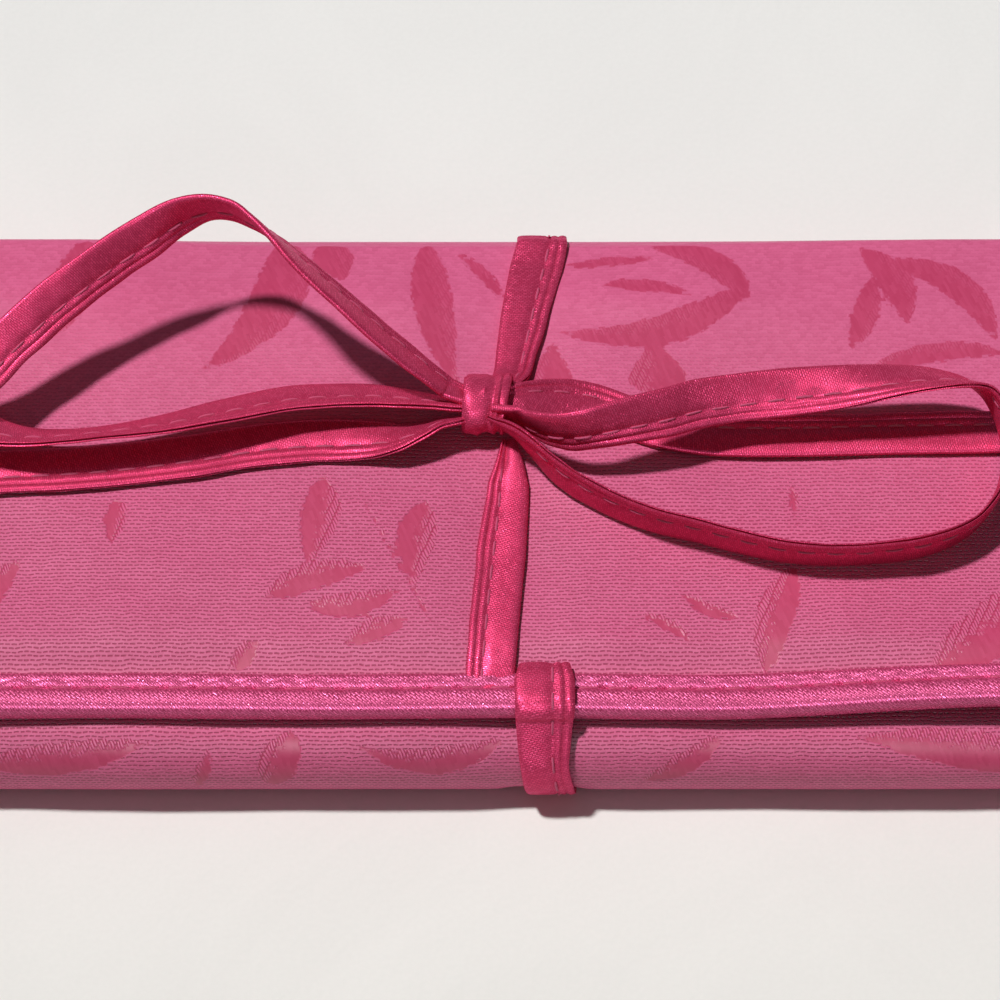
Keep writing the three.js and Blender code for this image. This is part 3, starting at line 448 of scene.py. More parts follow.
def brocade_material():
    """A pink ground with short dark gaps between its rows of thread. Leaves stand on it in two
    halves: one in smooth, deeper-coloured satin and one in coarse slanting floats."""
    material, made, sockets = new_material("brocade", 0.5, Specular_IOR_Level=0.4)
    cloth = made.node("UVMap", uv_map="cloth")
    _, ground_thread, dash = made.group(WEAVE, ["Height", "Thread", "Dash"], Cloth=cloth,
                                        Float=0.75, Row=0.51, Shift=0.5, Turn=0.0)
    twill, twill_thread = made.group(WEAVE, ["Height", "Thread"], Cloth=cloth, Float=1.5,
                                     Row=0.36, Shift=0.27, Turn=1.2)
    reach, side = (made.node("Attribute", output="Fac", attribute_name=name)
                   for name in ("leaf", "leaf_side"))
    # The cloth at the back is worn flatter, so its threads show less
    way = made.node("SeparateXYZ", cloth, output="Y")
    firm = made.math("MAXIMUM", made.fade(way, 22.0, 58.0, 1.0, 0.15),
                     made.fade(way, 80.0, 140.0))
    jagged = made.times(made.minus(ground_thread, 0.5), 0.5)
    inside = made.fade(made.plus(reach, jagged), -0.15, 0.15)
    coarse = made.fade(made.plus(side, jagged), 0.0, 0.5)
    pink = made.blend(ground_thread, srgb(212, 91, 135), srgb(222, 101, 146))
    pink = made.blend(made.times(dash, firm), pink, srgb(168, 48, 88))
    smooth_half = made.blend(twill_thread, srgb(192, 60, 100), srgb(202, 70, 111))
    twill_half = made.blend(twill, srgb(178, 48, 88), srgb(226, 100, 146))
    deep = made.blend(made.times(coarse, firm), smooth_half, twill_half)
    colour = tone(made, made.blend(inside, pink, deep), size=0.02, depth=0.2)
    made.fill(sockets["Base Color"], colour)
    made.fill(sockets["Roughness"], made.fade(inside, 0.0, 1.0, 0.5, 0.4))
    height = made.plus(made.times(made.minus(1.0, dash), made.minus(1.0, inside)),
                       made.times(made.times(twill, coarse), inside))
    bump(made, sockets, made.times(height, firm), depth=0.00008, strength=0.8)
    return material


def satin_material(name, high, low, pitch, row, turn, roughness, depth, **shader):
    """Fine floats of silky thread in rows, with the high colour on top and the low one between
    them. A random share of the threads is drawn lighter, partly their own tone and partly a
    painted glint, and those threads are also glossier."""
    material, made, sockets = new_material(name, roughness, **shader)
    cloth = made.node("UVMap", uv_map="cloth")
    height, thread = made.group(WEAVE, ["Height", "Thread"], Cloth=cloth, Float=pitch, Row=row,
                                Shift=0.5, Turn=turn)
    # The float's height times a random per-thread share: where it lightens the colour, that is
    # partly the thread's own tone and partly a painted glint
    raised_and_glint = made.times(made.fade(height, 0.0, 1.0, 0.35, 1.0),
                        made.fade(thread, 0.0, 1.0, 0.6, 1.0))
    colour = tone(made, made.blend(raised_and_glint, srgb(*low), srgb(*high)), size=0.008, depth=0.3)
    made.fill(sockets["Base Color"], colour)
    made.fill(sockets["Roughness"], made.fade(thread, 0.7, 1.0, roughness, roughness * 0.7))
    bump(made, sockets, raised_and_glint, depth)
    return material


def wadding_material():
    """Loose white fibres: stretched noise for colour and bump."""
    material, made, sockets = new_material("wadding", 0.95, Sheen_Weight=0.4)
    place = made.node("TexCoord", output="Object")
    fibres = made.noise(place, Scale=2600.0, Detail=6.0, Distortion=2.5)
    made.fill(sockets["Base Color"],
              made.blend(fibres, srgb(226, 222, 214), srgb(250, 248, 244)))
    bump(made, sockets, fibres, depth=0.0004)
    return material


def brass_material():
    """Polished brass: fine scratches in its roughness, and a darker tone in patches."""
    material, made, sockets = new_material("zip_brass", 0.28, Metallic=1.0)
    place = made.node("TexCoord", output="Object")
    stretched = made.node("Mapping", place, named={"Scale": (400.0, 6000.0, 6000.0)})
    scratches = made.noise(stretched, Scale=1.0, Detail=3.0)
    made.fill(sockets["Base Color"], tone(made, srgb(214, 176, 104), size=0.002, depth=0.5))
    made.fill(sockets["Roughness"], made.fade(scratches, 0.3, 0.7, 0.2, 0.42))
    bump(made, sockets, scratches, depth=0.00001)
    return material


def teeth_material():
    """Moulded teeth in the cloth's colour, a little mottled."""
    material, made, sockets = new_material("zip_teeth", 0.32, Specular_IOR_Level=0.6)
    made.fill(sockets["Base Color"], tone(made, srgb(186, 52, 98), size=0.001, depth=0.25))
    return material


def floor_material():
    """A pale table: near white further back and a little darker in front, with faint mottling."""
    material, made, sockets = new_material("floor", 0.7, Specular_IOR_Level=0.2)
    place = made.node("TexCoord", output="Object")
    depth = made.node("SeparateXYZ", place, output="Y")
    colour = made.blend(made.fade(depth, -0.07, 0.1), srgb(239, 237, 232), srgb(239, 238, 235))
    clouds = made.noise(place, Scale=18.0, Detail=5.0, Distortion=1.2)
    grain = made.noise(place, Scale=1500.0, Detail=3.0)
    factor = made.plus(made.fade(clouds, 0.3, 0.7, 0.975, 1.01),
                       made.fade(grain, 0.2, 0.8, -0.012, 0.012))
    made.fill(sockets["Base Color"], made.scale(colour, factor))
    bump(made, sockets, made.plus(clouds, made.times(grain, 0.04)), depth=0.0006)
    return material


brocade = brocade_material()
tie_satin = satin_material("tie_satin", (228, 80, 124), (172, 30, 68), pitch=0.5, row=0.26,
                           turn=0.2, roughness=0.4, depth=0.00003, Metallic=0.45, IOR=1.3,
                           Specular_Tint=srgb(255, 160, 208))
bind_satin = satin_material("binding_satin", (238, 100, 152), (150, 24, 62), pitch=1.1, row=0.3,
                            turn=-math.pi / 4, roughness=0.33, depth=0.00004, Metallic=0.3,
                            Specular_IOR_Level=0.9, Specular_Tint=srgb(250, 186, 238))
lining_satin = satin_material("lining_satin", (206, 80, 128), (188, 64, 110), pitch=0.5, row=0.3,
                              turn=0.0, roughness=0.4, depth=0.00002, Specular_IOR_Level=0.6)
zip_cloth = satin_material("zip_tape", (186, 56, 104), (120, 22, 60), pitch=0.5, row=0.5,
                           turn=math.pi / 4, roughness=0.7, depth=0.0001)
thread = satin_material("thread", (230, 98, 142), (182, 54, 94), pitch=0.25, row=0.12, turn=0.5,
                        roughness=0.7, depth=0.00005)
wadding = wadding_material()
brass = brass_material()
teeth = teeth_material()


# The brocade's leaves: root and tip across and along the cloth, width, how far the middle
# stands off to the left, and how much narrower the tip is than the root
FLAP_LEAVES = (
    (-54, 36, -59, 18.5, 6.0, 1.0, 0.2), (-28.5, 37, -39, 14.5, 6.4, 3.6, 0.5),
    (-24, 36, -21.5, 29, 5.0, 0.0, 0.3), (-11, 36, -7, 11.5, 4.8, -1.0, 0.4),
    (-7, 34, -1.5, 26, 1.8, 0.5, 0.0), (5, 20.8, 29.4, 28, 4.4, -3.8, -0.35),
    (29.4, 25.5, 17, 35.4, 4.2, -2.4, 0.2), (6, 31.5, 18, 33.2, 1.6, 0.0, 0.0),
    (11, 28, 22, 26.5, 2.2, 0.6, 0.2), (18, 11, 17.2, 19.5, 6.0, 0.0, 0.8),
    (4, 10, 4.8, 19.5, 5.0, 0.0, 0.8), (45, 29, 42, 18, 3.4, 0.4, 0.0),
    (44, 34.5, 49, 22, 4.6, 1.5, 0.1), (47, 32.5, 60, 19.5, 4.4, 3.0, 0.0),
    (44, 14.5, 61, 17.5, 3.0, 1.5, 0.0), (-23.3, -1, -25, -13, 4.6, 0.4, 0.2),
    (-30, -18.5, -17.7, -14, 4.0, 1.0, 0.2), (-25, -19.5, -14, -17.5, 3.4, -1.0, 0.2),
    (-11, -4.3, -12.2, -16.5, 4.4, -0.5, 0.4), (-20.2, -25, -12.8, -21.6, 3.0, 0.3, 0.0),
    (-18, -5, -9, -24, 0.5, 0.0, 0.0), (-48.3, -4, -49, -10.5, 2.6, 0.0, 0.2),
    (-33.8, -28.5, -31, -24.5, 2.4, 0.0, 0.0), (30, -29, 33.8, -14, 4.6, 0.6, -0.1),
    (33.6, -1.5, 34.6, -8, 1.0, 0.0, 0.0), (50, -29.5, 68, -13, 7.5, -0.8, 0.2),
    (15.5, -21, 21, -24.5, 1.6, 0.3, 0.0), (20, -18, 27, -21.5, 1.8, -0.4, 0.0),
)
FOLD_LEAVES = (
    (-64, 3.0, -44, 5.8, 4.2, -0.5, 0.2), (-38.5, -1, -36.5, 4.8, 1.6, 0.0, 0.0),
    (-29.5, -0.5, -26.5, 7.2, 4.8, 0.3, 0.1), (-18.5, 5.4, -1.5, 6.2, 3.4, -2.4, -0.2),
    (15.5, 0.4, 25, 6.8, 3.0, -0.4, 0.1), (41, 6.6, 63, 3.2, 4.8, 0.4, -0.5),
)
LEAF_REPEAT = (128.0, 88.0)
LEAF_ROWS = 3  # of the flap's leaves, along the cloth
LEAF_EDGE = 0.3  # leaves reach this far past their outline at their tips
FLAP_START = -PLY_FRONT
NOSE_PLACE = 163.3  # the front fold's nose, along the cloth from the flap's front edge


def leaf_reach(u, v):
    """How far inside a leaf each place on the cloth is, in millimetres, and where it is across
    the leaf, from -1 to 1. A leaf's half width is width/2 (1-tt)^0.75 (1-lean t) about an arc,
    with t from -1 at the root to 1 at the tip."""
    leaves = [(x0, y0 + FLAP_START, x1, y1 + FLAP_START, *rest, row)
              for x0, y0, x1, y1, *rest in FLAP_LEAVES for row in range(LEAF_ROWS)]
    leaves += [(x0, y0 + NOSE_PLACE, x1, y1 + NOSE_PLACE, *rest, 0)
               for x0, y0, x1, y1, *rest in FOLD_LEAVES]
    repeat_u, repeat_v = LEAF_REPEAT
    reach, side = np.full(u.shape, -9.0), np.zeros(u.shape)
    for x0, y0, x1, y1, width, bend, lean, row in leaves:
        length = math.hypot(x1 - x0, y1 - y0)
        right, up = (x1 - x0) / length, (y1 - y0) / length
        du = u - (x0 + x1) / 2 - row * repeat_u / 2
        du = du - repeat_u * np.round(du / repeat_u)
        dv = v - (y0 + y1) / 2 - row * repeat_v
        t = (du * right + dv * up) * 2 / length
        across = dv * right - du * up - bend * (1 - t * t)
        half = width / 2 * np.clip(1 - t * t, 0, None) ** 0.75 * (1 - lean * t)
        inside = np.where(np.abs(t) < 1, half - np.abs(across), (1 - np.abs(t)) * length / 2)
        inside = np.minimum(inside, half - np.abs(across) + LEAF_EDGE)
        side = np.where(inside > reach, across / (half + 0.5), side)
        reach = np.maximum(reach, inside)
    return reach, side


# The panel
def side_flat(x):
    """How flat the panel is sewn at its sides: 0 over the padding and 1 at the seams."""
    return smooth(np.abs(x), PLY_SIDE - SEAM_FLAT - SEAM_TAPER, PLY_SIDE - SEAM_FLAT)


def groove(x, lift):
    """The dent under the tie: one depth beneath the strip and a smooth slope beside it. It is
    deepest below the base and gone where lift is 1."""
    off = np.abs(x - TIE_X)
    return GROOVE * (1 - smooth(off, GROOVE_HALF, GROOVE_HALF + GROOVE_SLOPE)) * (1 - lift)


def flap_lift(x, y):
    """The front right part of the flap stands off the pocket, and the rest of its front edge
    lies down on it. Each is a height times one smooth step across and one along."""
    up = CORNER_LIFT * smooth(x, 22.0, 78.0) * smooth(-y, 14.0, 37.0)
    return up - FLAP_DIP * smooth(-y, 20.0, 33.0) * (1 - smooth(x, 15.0, 60.0))


def flap_back(x, y):
    """How far the flap's front part is drawn back: most at its edge, and more on the right."""
    everywhere, on_right = FLAP_BACK
    return (everywhere + on_right * smooth(x, 20.0, 60.0)) * smooth(-y, 4.0, 29.0)


def shoulder(rows, side, x):
    """How much the padding gives where it turns over the back, by the way along it from the
    middle of the spine: it rises over 3.8 mm to the turn and fades out along the flap."""
    give = SHOULDER + WAIST * smooth(x, -56.0, -27.0) * (1 - smooth(x, 6.0, 58.0))
    return give * smooth(rows, 2.2, 6.0) * (1 - smooth(rows, 8.0, 20.0)) * (1 - side)


def given_way(depth, give):
    """A depth moved in by give: all of it at the outside, and none of it at the lining."""
    return depth + give * np.clip(1 - depth / (PANEL - LINING), 0, 1)


def flap_underside(y):
    """The height of the flap's inner face, which rises by the crown times 1 - tt, with t from
    -1 at its front edge to 1 at its hinge."""
    middle, span = (SPINE_FACE + FLAP_EDGE) / 2, SPINE_FACE - FLAP_EDGE
    return HINGE_HIGH + FLAP_CROWN * (1 - (2 * (y - middle) / span) ** 2)


def flap_flat(x, y):
    """How flat the flap is sewn, at its sides and along its front edge."""
    front = 1 - smooth(y - PLY_FRONT, SEAM_FLAT, SEAM_FLAT + EDGE_TAPER)
    return np.maximum(side_flat(x), front)


def swell(x, along, flat):
    """The padding's slow waves, less a bell-shaped dip by the tie. Both are gone where the
    panel is sewn flat."""
    middle, reach, depth = TIE_DENT
    waves = sum(ripple(x, along, *swell_wave) for swell_wave in SWELLS)
    return (waves - depth * np.exp(-((x - middle) / reach) ** 2)) * (1 - flat)


def flap_point(x, y, depth):
    """A place on the flap, at a depth below its outside. The outside lies the panel's thickness
    above the underside, sunk where it is sewn, with the swell and the lift added."""
    flat = flap_flat(x, y)
    top = flap_underside(y) + PANEL - SUNK * flat + swell(x, y, flat) * smooth(y, 36.0, 28.0)
    depth = given_way(depth, shoulder(UPPER_TURN + SPINE_FACE - y, side_flat(x), x))
    return x, y + flap_back(x, y), top + flap_lift(x, y) - depth


def spread(stops, steps):
    """A row of values through the stops, in even steps of about that size between each two."""
    runs = [np.linspace(a, b, max(2, round(abs(b - a) / step) + 1))
            for a, b, step in zip(stops, stops[1:], steps)]
    return np.concatenate([runs[0]] + [run[1:] for run in runs[1:]])


def cloth_columns(step):
    """Places across the pouch, with the zip's slot and the seams on exact columns."""
    return spread((-PLY_SIDE, *ZIP_SLOT[:2], PLY_SIDE), [step] * 3)


def upper_face(x, rows, depth_of):
    """One face of the upper body: up the spine, over the back fold and along the flap. rows is
    the way along it, counted from the middle of the spine; depth_of(flat) is the face's depth.
    The fold is a quarter circle about the upper hinge line."""
    rise = HINGE_HIGH - MID_SPINE
    side = side_flat(x)
    depth = given_way(depth_of(side), shoulder(rows, side, x))
    r = PANEL - SUNK * side - depth
    angle = np.clip((rows - rise) / PANEL, 0.0, math.pi / 2)
    y = np.where(rows < rise, SPINE_FACE + r, SPINE_FACE + r * np.cos(angle))
    z = np.where(rows < rise, MID_SPINE + rows, HINGE_HIGH + r * np.sin(angle))
    flap_y = SPINE_FACE - (rows - UPPER_TURN)
    on_flap = rows > UPPER_TURN
    _, drawn_y, flap_z = flap_point(x, flap_y, depth_of(flap_flat(x, flap_y)))
    return grid((x, np.where(on_flap, drawn_y, y), np.where(on_flap, flap_z, z)))


UPPER_TURN = HINGE_HIGH - MID_SPINE + math.pi / 2 * PANEL  # from the spine's middle to the flap
UPPER_END = UPPER_TURN + SPINE_FACE - PLY_FRONT
LOWER_TURN = MID_SPINE - HINGE_LOW + math.pi / 2 * PANEL
BASE_RUN = SPINE_FACE + HALF_DEPTH - POCKET_TOP / 2
FRONT_TURN = math.pi * POCKET_TOP / 2
POCKET_RUN = MOUTH + HALF_DEPTH - POCKET_TOP / 2
FRONT_START = LOWER_TURN + BASE_RUN
POCKET_START = FRONT_START + FRONT_TURN
LOWER_END = POCKET_START + POCKET_RUN


def pocket_dip(x, turn, over):
    """The pocket lies lower under the lifted part of the flap. turn is the share of the way
    round the front fold, over the way along the pocket behind it."""
    dip = POCKET_DIP * smooth(x, 20.0, 75.0) * smooth(turn, 0.55, 0.95)
    return dip * (1 - smooth(over, 3.0, 18.0))


def lower_face(x, rows, depth_of, room=0.0, with_groove=True):
    """One face of the lower body: down the spine, round the lower fold, along the base, round
    the front fold and back over the pocket. The lower fold is a quarter circle about its hinge
    line and the front fold a half circle. room lifts it off the base, for the lining."""
    drop = MID_SPINE - HINGE_LOW
    side = side_flat(x)
    mouth = 1 - smooth(LOWER_END - rows, SEAM_FLAT, SEAM_FLAT + EDGE_TAPER)
    flat = np.maximum(side, mouth)
    # 0 on the spine and 1 on the base
    down = np.clip((rows - drop) / (LOWER_TURN - drop), 0.0, 1.0)
    u = np.clip((rows - LOWER_TURN) / BASE_RUN, 0.0, 1.0)
    turn = np.clip((rows - FRONT_START) / FRONT_TURN, 0.0, 1.0)
    lift = np.where(rows < LOWER_TURN, 1 - smooth(down, 0.0, 1.0), smooth(turn, 0.0, 0.5))
    bulge = swell(x, rows, flat) * smooth(turn, 0.25, 0.6)
    depth = depth_of(flat) + MOUTH_DROP * mouth - bulge
    if with_groove:
        depth = depth + groove(x, lift)
    depth = depth + room * (1 - side) * np.where(rows < LOWER_TURN, 0.0, 1.0)
    depth = depth + pocket_dip(x, turn, rows - POCKET_START)
    sunk = mix(SUNK, SEAM_LIFT, down) * side
    r = PANEL - sunk - depth
    angle = -down * math.pi / 2
    y = SPINE_FACE + r * np.cos(angle)
    z = np.where(down > 0, HINGE_LOW + r * np.sin(angle), MID_SPINE - rows)
    bottom = SEAM_LIFT * side
    top = mix(POCKET_TOP, SEAM_TOP, side)
    radius = (top - bottom) / 2
    fold_y = -HALF_DEPTH + radius
    base = rows > LOWER_TURN
    y = np.where(base, mix(SPINE_FACE, fold_y, u), y)
    z = np.where(base, bottom + depth, z)
    bend = turn * math.pi
    around = radius * (1 + FOOT_BULGE * np.sin(2 * bend) ** 2 * (turn < 0.5) * (1 - side)) - depth
    front = turn > 0
    y = np.where(front, fold_y - around * np.sin(bend), y)
    z = np.where(front, bottom + radius - around * np.cos(bend), z)
    over = rows > POCKET_START
    share = (rows - POCKET_START) / POCKET_RUN
    y = np.where(over, mix(fold_y, MOUTH, share), y)
    z = np.where(over, top - depth, z)
    return grid((x, y, z))


def brocade_depth(side):
    """The brocade's faces: the panel's outside and the inner one below it."""
    return lambda flat: BROCADE * side


def lining_depth(side):
    """The lining's faces, deep under the wadding and close to the brocade where it is sewn."""
    return lambda flat: mix(PANEL - LINING, BROCADE + 0.3, flat) + LINING * side


def spine_wall(x, z, depth_of):
    """One face of the spine, as a flat wall."""
    side = side_flat(x)
    return grid((x, HALF_DEPTH - SUNK * side - depth_of(side), z))


def make_brocade():
    """Both covers, from the middle of the spine up to the flap's front edge and down to the
    pocket's mouth. The way along their cloth, v, is counted from the flap's front edge."""
    x = cloth_columns(step=1.0)[None, :]
    upper = spread((0, UPPER_TURN, UPPER_END), (0.6, 0.8))[:, None]
    lower = spread((0, LOWER_TURN, FRONT_START, POCKET_START, LOWER_END),
                   (0.6, 1.0, 0.6, 0.9))[:, None]
    for name, face, rows, v in (
        ("brocade_upper", upper_face, upper, UPPER_END - upper),
        ("brocade_lower", lower_face, lower, UPPER_END + lower),
    ):
        u, v = np.broadcast_arrays(x, v)
        faces = [face(x, rows, brocade_depth(side)) for side in (0, 1)]
        cover = ply(name, faces, u, v, brocade)
        for attribute, values in zip(("leaf", "leaf_side"), leaf_reach(u, v)):
            held = cover.data.attributes.new(attribute, "FLOAT", "POINT")
            held.data.foreach_set("value", np.tile(values.ravel(), 2).astype(np.float32))
        if face is upper_face:
            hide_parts("flap_brocade", "rear_upper_fold", "spine_brocade")
            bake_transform(cover)
        else:
            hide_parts("base_brocade", "rear_lower_fold")
            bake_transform(cover)


def make_lining():
    """The satin inside, in two pieces that meet on the spine: one over the base and the pocket,
    with the zip's slot cut out, and one over the flap. It turns more sharply than the brocade,
    from the spine straight onto the base or the flap."""
    x = cloth_columns(step=1.6)[None, :]
    side = side_flat(x)
    share = np.linspace(0.0, 1.0, 6)[:, None]
    over_base, by_zip = LINING_ROOM
    left, right, front, rear = ZIP_SLOT
    base = LOWER_TURN + spread((JOIN_GAP, SPINE_FACE - rear, SPINE_FACE - front, BASE_RUN),
                               [1.6] * 3)
    rest = spread((FRONT_START, POCKET_START, LOWER_END), (1.2, 1.6))[1:]
    rows = np.concatenate([base, rest])[:, None]
    u = (rows - LOWER_TURN) / BASE_RUN
    room = over_base + by_zip * (1 - smooth(u, 1 / 3, 1 / 2))
    room = room * (1 - smooth(u, 1.0, 1.0 + FRONT_TURN / BASE_RUN))
    corner = mix(over_base + by_zip + PANEL + 0.4, 3.0, side)

    def lower_lining(depth):
        below = lower_face(x, rows, depth, room, with_groove=False)
        return np.concatenate([spine_wall(x, mix(MID_SPINE, corner, share), depth), below])

    outer, inner = (lower_lining(lining_depth(level)) for level in (0, 1))
    near = 0.01
    xs = x.ravel()
    ys = inner[:, len(xs) // 2, 1]
    across = (xs[:-1] > left - near) & (xs[1:] < right + near)
    along = (ys[:-1] < rear + near) & (ys[1:] > front - near)
    on_base = np.arange(len(ys) - 1) < len(share) + len(base) - 1
    keep = ~(across[None, :] & (along & on_base)[:, None])
    v = run_along(inner[:, LINING_COLUMN])[:, None]
    lower = ply("lining_lower", (outer, inner), x, v, lining_satin, keep)
    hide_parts("base_lining")
    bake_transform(lower)

    y = np.linspace(SPINE_FACE - JOIN_GAP, PLY_FRONT, 44)[:, None]
    top = mix(HINGE_HIGH - JOIN_GAP, HINGE_HIGH, side)

    def upper_lining(depth):
        on_flap = grid(flap_point(x, y, depth(flap_flat(x, y))))
        return np.concatenate([spine_wall(x, mix(MID_SPINE, top, share), depth), on_flap])

    outer, inner = (upper_lining(lining_depth(level)) for level in (0, 1))
    v = -run_along(inner[:, LINING_COLUMN])[:, None]
    upper = ply("lining_upper", (outer, inner), x, v, lining_satin)
    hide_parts("flap_lining", "spine_lining")
    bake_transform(upper)


def make_wadding():
    """Three batts that thin out towards the seams, one in each panel."""
    reach = PLY_SIDE - SEAM_FLAT - SEAM_TAPER / 3
    x = np.linspace(-reach, reach, 90)[None, :]

    def depth(level):
        return lambda flat: mix(WADDING[level], WADDING[0], flat) + 0.03 * level

    batts = []
    y = np.linspace(SPINE_FACE - 4.0, PLY_FRONT + SEAM_FLAT + EDGE_TAPER / 3, 50)[:, None]
    faces = [grid(flap_point(x, y, depth(k)(flap_flat(x, y)))) for k in (0, 1)]
    batts.append(("wadding_flap", faces, y, "flap", "flap_wadding"))
    z = np.linspace(MID_SPINE - 2.4, MID_SPINE + 2.4, 6)[:, None]
    faces = [spine_wall(x, z, depth(k)) for k in (0, 1)]
    batts.append(("wadding_spine", faces, z, "spine", "spine_wadding"))
    start = LOWER_TURN + SPINE_FACE - 15.0
    rows = np.linspace(start, LOWER_END - SEAM_FLAT - EDGE_TAPER / 2, 100)[:, None]
    faces = [lower_face(x, rows, depth(k)) for k in (0, 1)]
    batts.append(("wadding_base", faces, rows, "base", "base_wadding"))
    for name, faces, way, body, node in batts:
        batt = ply(name, faces, x, way, wadding)
        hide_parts(node)
        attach(batt, body)


# Binding
def binding_section(half, station, seed):
    """A folded strip's closed section at each station, as distances from its inner edge and
    heights from the seam's middle. half is the seam's half thickness. The stitched strip is
    puckered once a stitch, and beyond the stitches the strip swells into a roll."""
    turn = np.linspace(ROLL_TURN, -ROLL_TURN, 21)
    roll = BIND_WIDTH - STITCH_LINE
    bow = np.cos(turn)
    a_roll = STITCH_LINE + roll * (0.42 + 0.58 * np.sign(bow) * np.abs(bow) ** 0.8)
    b_roll = np.sign(turn) * (np.abs(np.sin(turn)) ** 0.7)
    strip_a = np.array([0.0, 0.0, 0.2, 0.6, 1.1, 1.5, 1.8])
    strip_b = np.array([0.08, 0.4, 0.66, 0.78, 0.72, 0.56, 0.42])
    a = np.concatenate([strip_a, a_roll, strip_a[::-1]])
    rise = np.concatenate([strip_b, 0 * b_roll, -strip_b[::-1]])
    strip = np.abs(rise) > 0
    reach = half[:, None] + BIND_OUT
    b = np.where(strip, rise + np.sign(rise) * half[:, None],
                 reach * np.concatenate([0 * strip_b, b_roll, 0 * strip_b]))
    phase = 2 * math.pi * station[:, None] / STITCH_PITCH
    wander = ripple_along(station, 21.0, seed)
    pucker = 0.06 * np.sin(phase + 1.6 * a + 1.2 * wander) * (1 + 0.5 * wander)
    b = b + np.sign(rise) * pucker * smooth(a, 0.0, 0.6)
    b = b - np.sign(b) * 0.13 * np.exp(-((a - STITCH_LINE) / 0.35) ** 2) * (1.6 + np.cos(phase))
    swollen = 1 + 0.03 * wander
    b = np.where(strip, b, b * swollen)
    a = np.broadcast_to(a, b.shape)
    inner_a = np.minimum(a, BIND_WIDTH - BIND_OUT)
    inner_b = np.clip(b, -half[:, None] - 0.05, half[:, None] + 0.05)
    across = np.concatenate([a, inner_a[:, ::-1]], 1)
    height = np.concatenate([b, inner_b[:, ::-1]], 1)
    ring = np.stack([across[0], height[0]], -1)
    return across, height, run_along(np.vstack([ring, ring[:1]]))


def make_binding(name, station, half, place, seed):
    """A bound edge: place(a, b) puts the section's corners in space, station by station. half
    is the seam's half thickness, all along or at each station."""
    half = np.broadcast_to(half, station.shape)
    a, b, around = binding_section(half, station, seed)
    parts = [(tube_shape(place(a, b), around, station), bind_satin)]
    first = STITCH_PITCH * math.ceil(station.min() / STITCH_PITCH) + STITCH_PITCH / 2
    wanted = np.arange(first, station.max() - STITCH_LENGTH / 2, STITCH_PITCH)
    for way in (1, -1):
        height = way * (half + STITCH_OUT)[:, None]
        line, above = (place(STITCH_LINE, height + off)[:, 0] for off in (0.0, way * 0.2))
        at = sample(wanted, station, line)
        tangent = unit(sample(wanted + 0.5, station, line) - at)
        normal = square_to(unit(sample(wanted, station, above) - at), tangent)
        stitches = stitch_shape(at, tangent, normal, STITCH_LENGTH, STITCH_RADIUS)
        parts.append((stitches, thread))
    return piece(name, parts)


def make_bindings():
    """The binding along the flap's front edge, along the pocket's mouth and down both ends."""
    middle = flap_underside(PLY_FRONT + SEAM_FLAT / 2) + PANEL / 2
    x = np.arange(-HALF_WIDTH, HALF_WIDTH + 0.01, 0.5)
    inner = FLAP_EDGE + BIND_WIDTH

    def at_front(a, b):
        y = inner - a
        back = ripple_along(x, 40.0, seed=3, height=0.1) + flap_back(x[:, None], y)
        return grid((x[:, None], y + back, middle + b + flap_lift(x[:, None], y)))

    front = make_binding("flap_front_binding_cover", x, SEAM / 2, at_front, seed=11)
    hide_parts("flap_front_binding")
    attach(front, "flap")

    # The pocket's mouth, which dips towards the side seams
    reach = HALF_WIDTH - BIND_WIDTH - JOIN_GAP
    across = np.arange(-reach, reach, 0.6)
    nose = MOUTH + BIND_OUT
    top = mix(POCKET_TOP, SEAM_TOP, side_flat(across)) - MOUTH_DROP

    def at_mouth(a, b):
        return grid((across[:, None], nose - BIND_WIDTH + a, (top - SEAM / 2)[:, None] + b))

    mouth = make_binding("mouth_binding_cover", across, SEAM / 2, at_mouth, seed=12)
    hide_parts("mouth_binding")
    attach(mouth, "base")

    for side, way in (("left", -1), ("right", 1)):
        make_side_bindings(side, way)


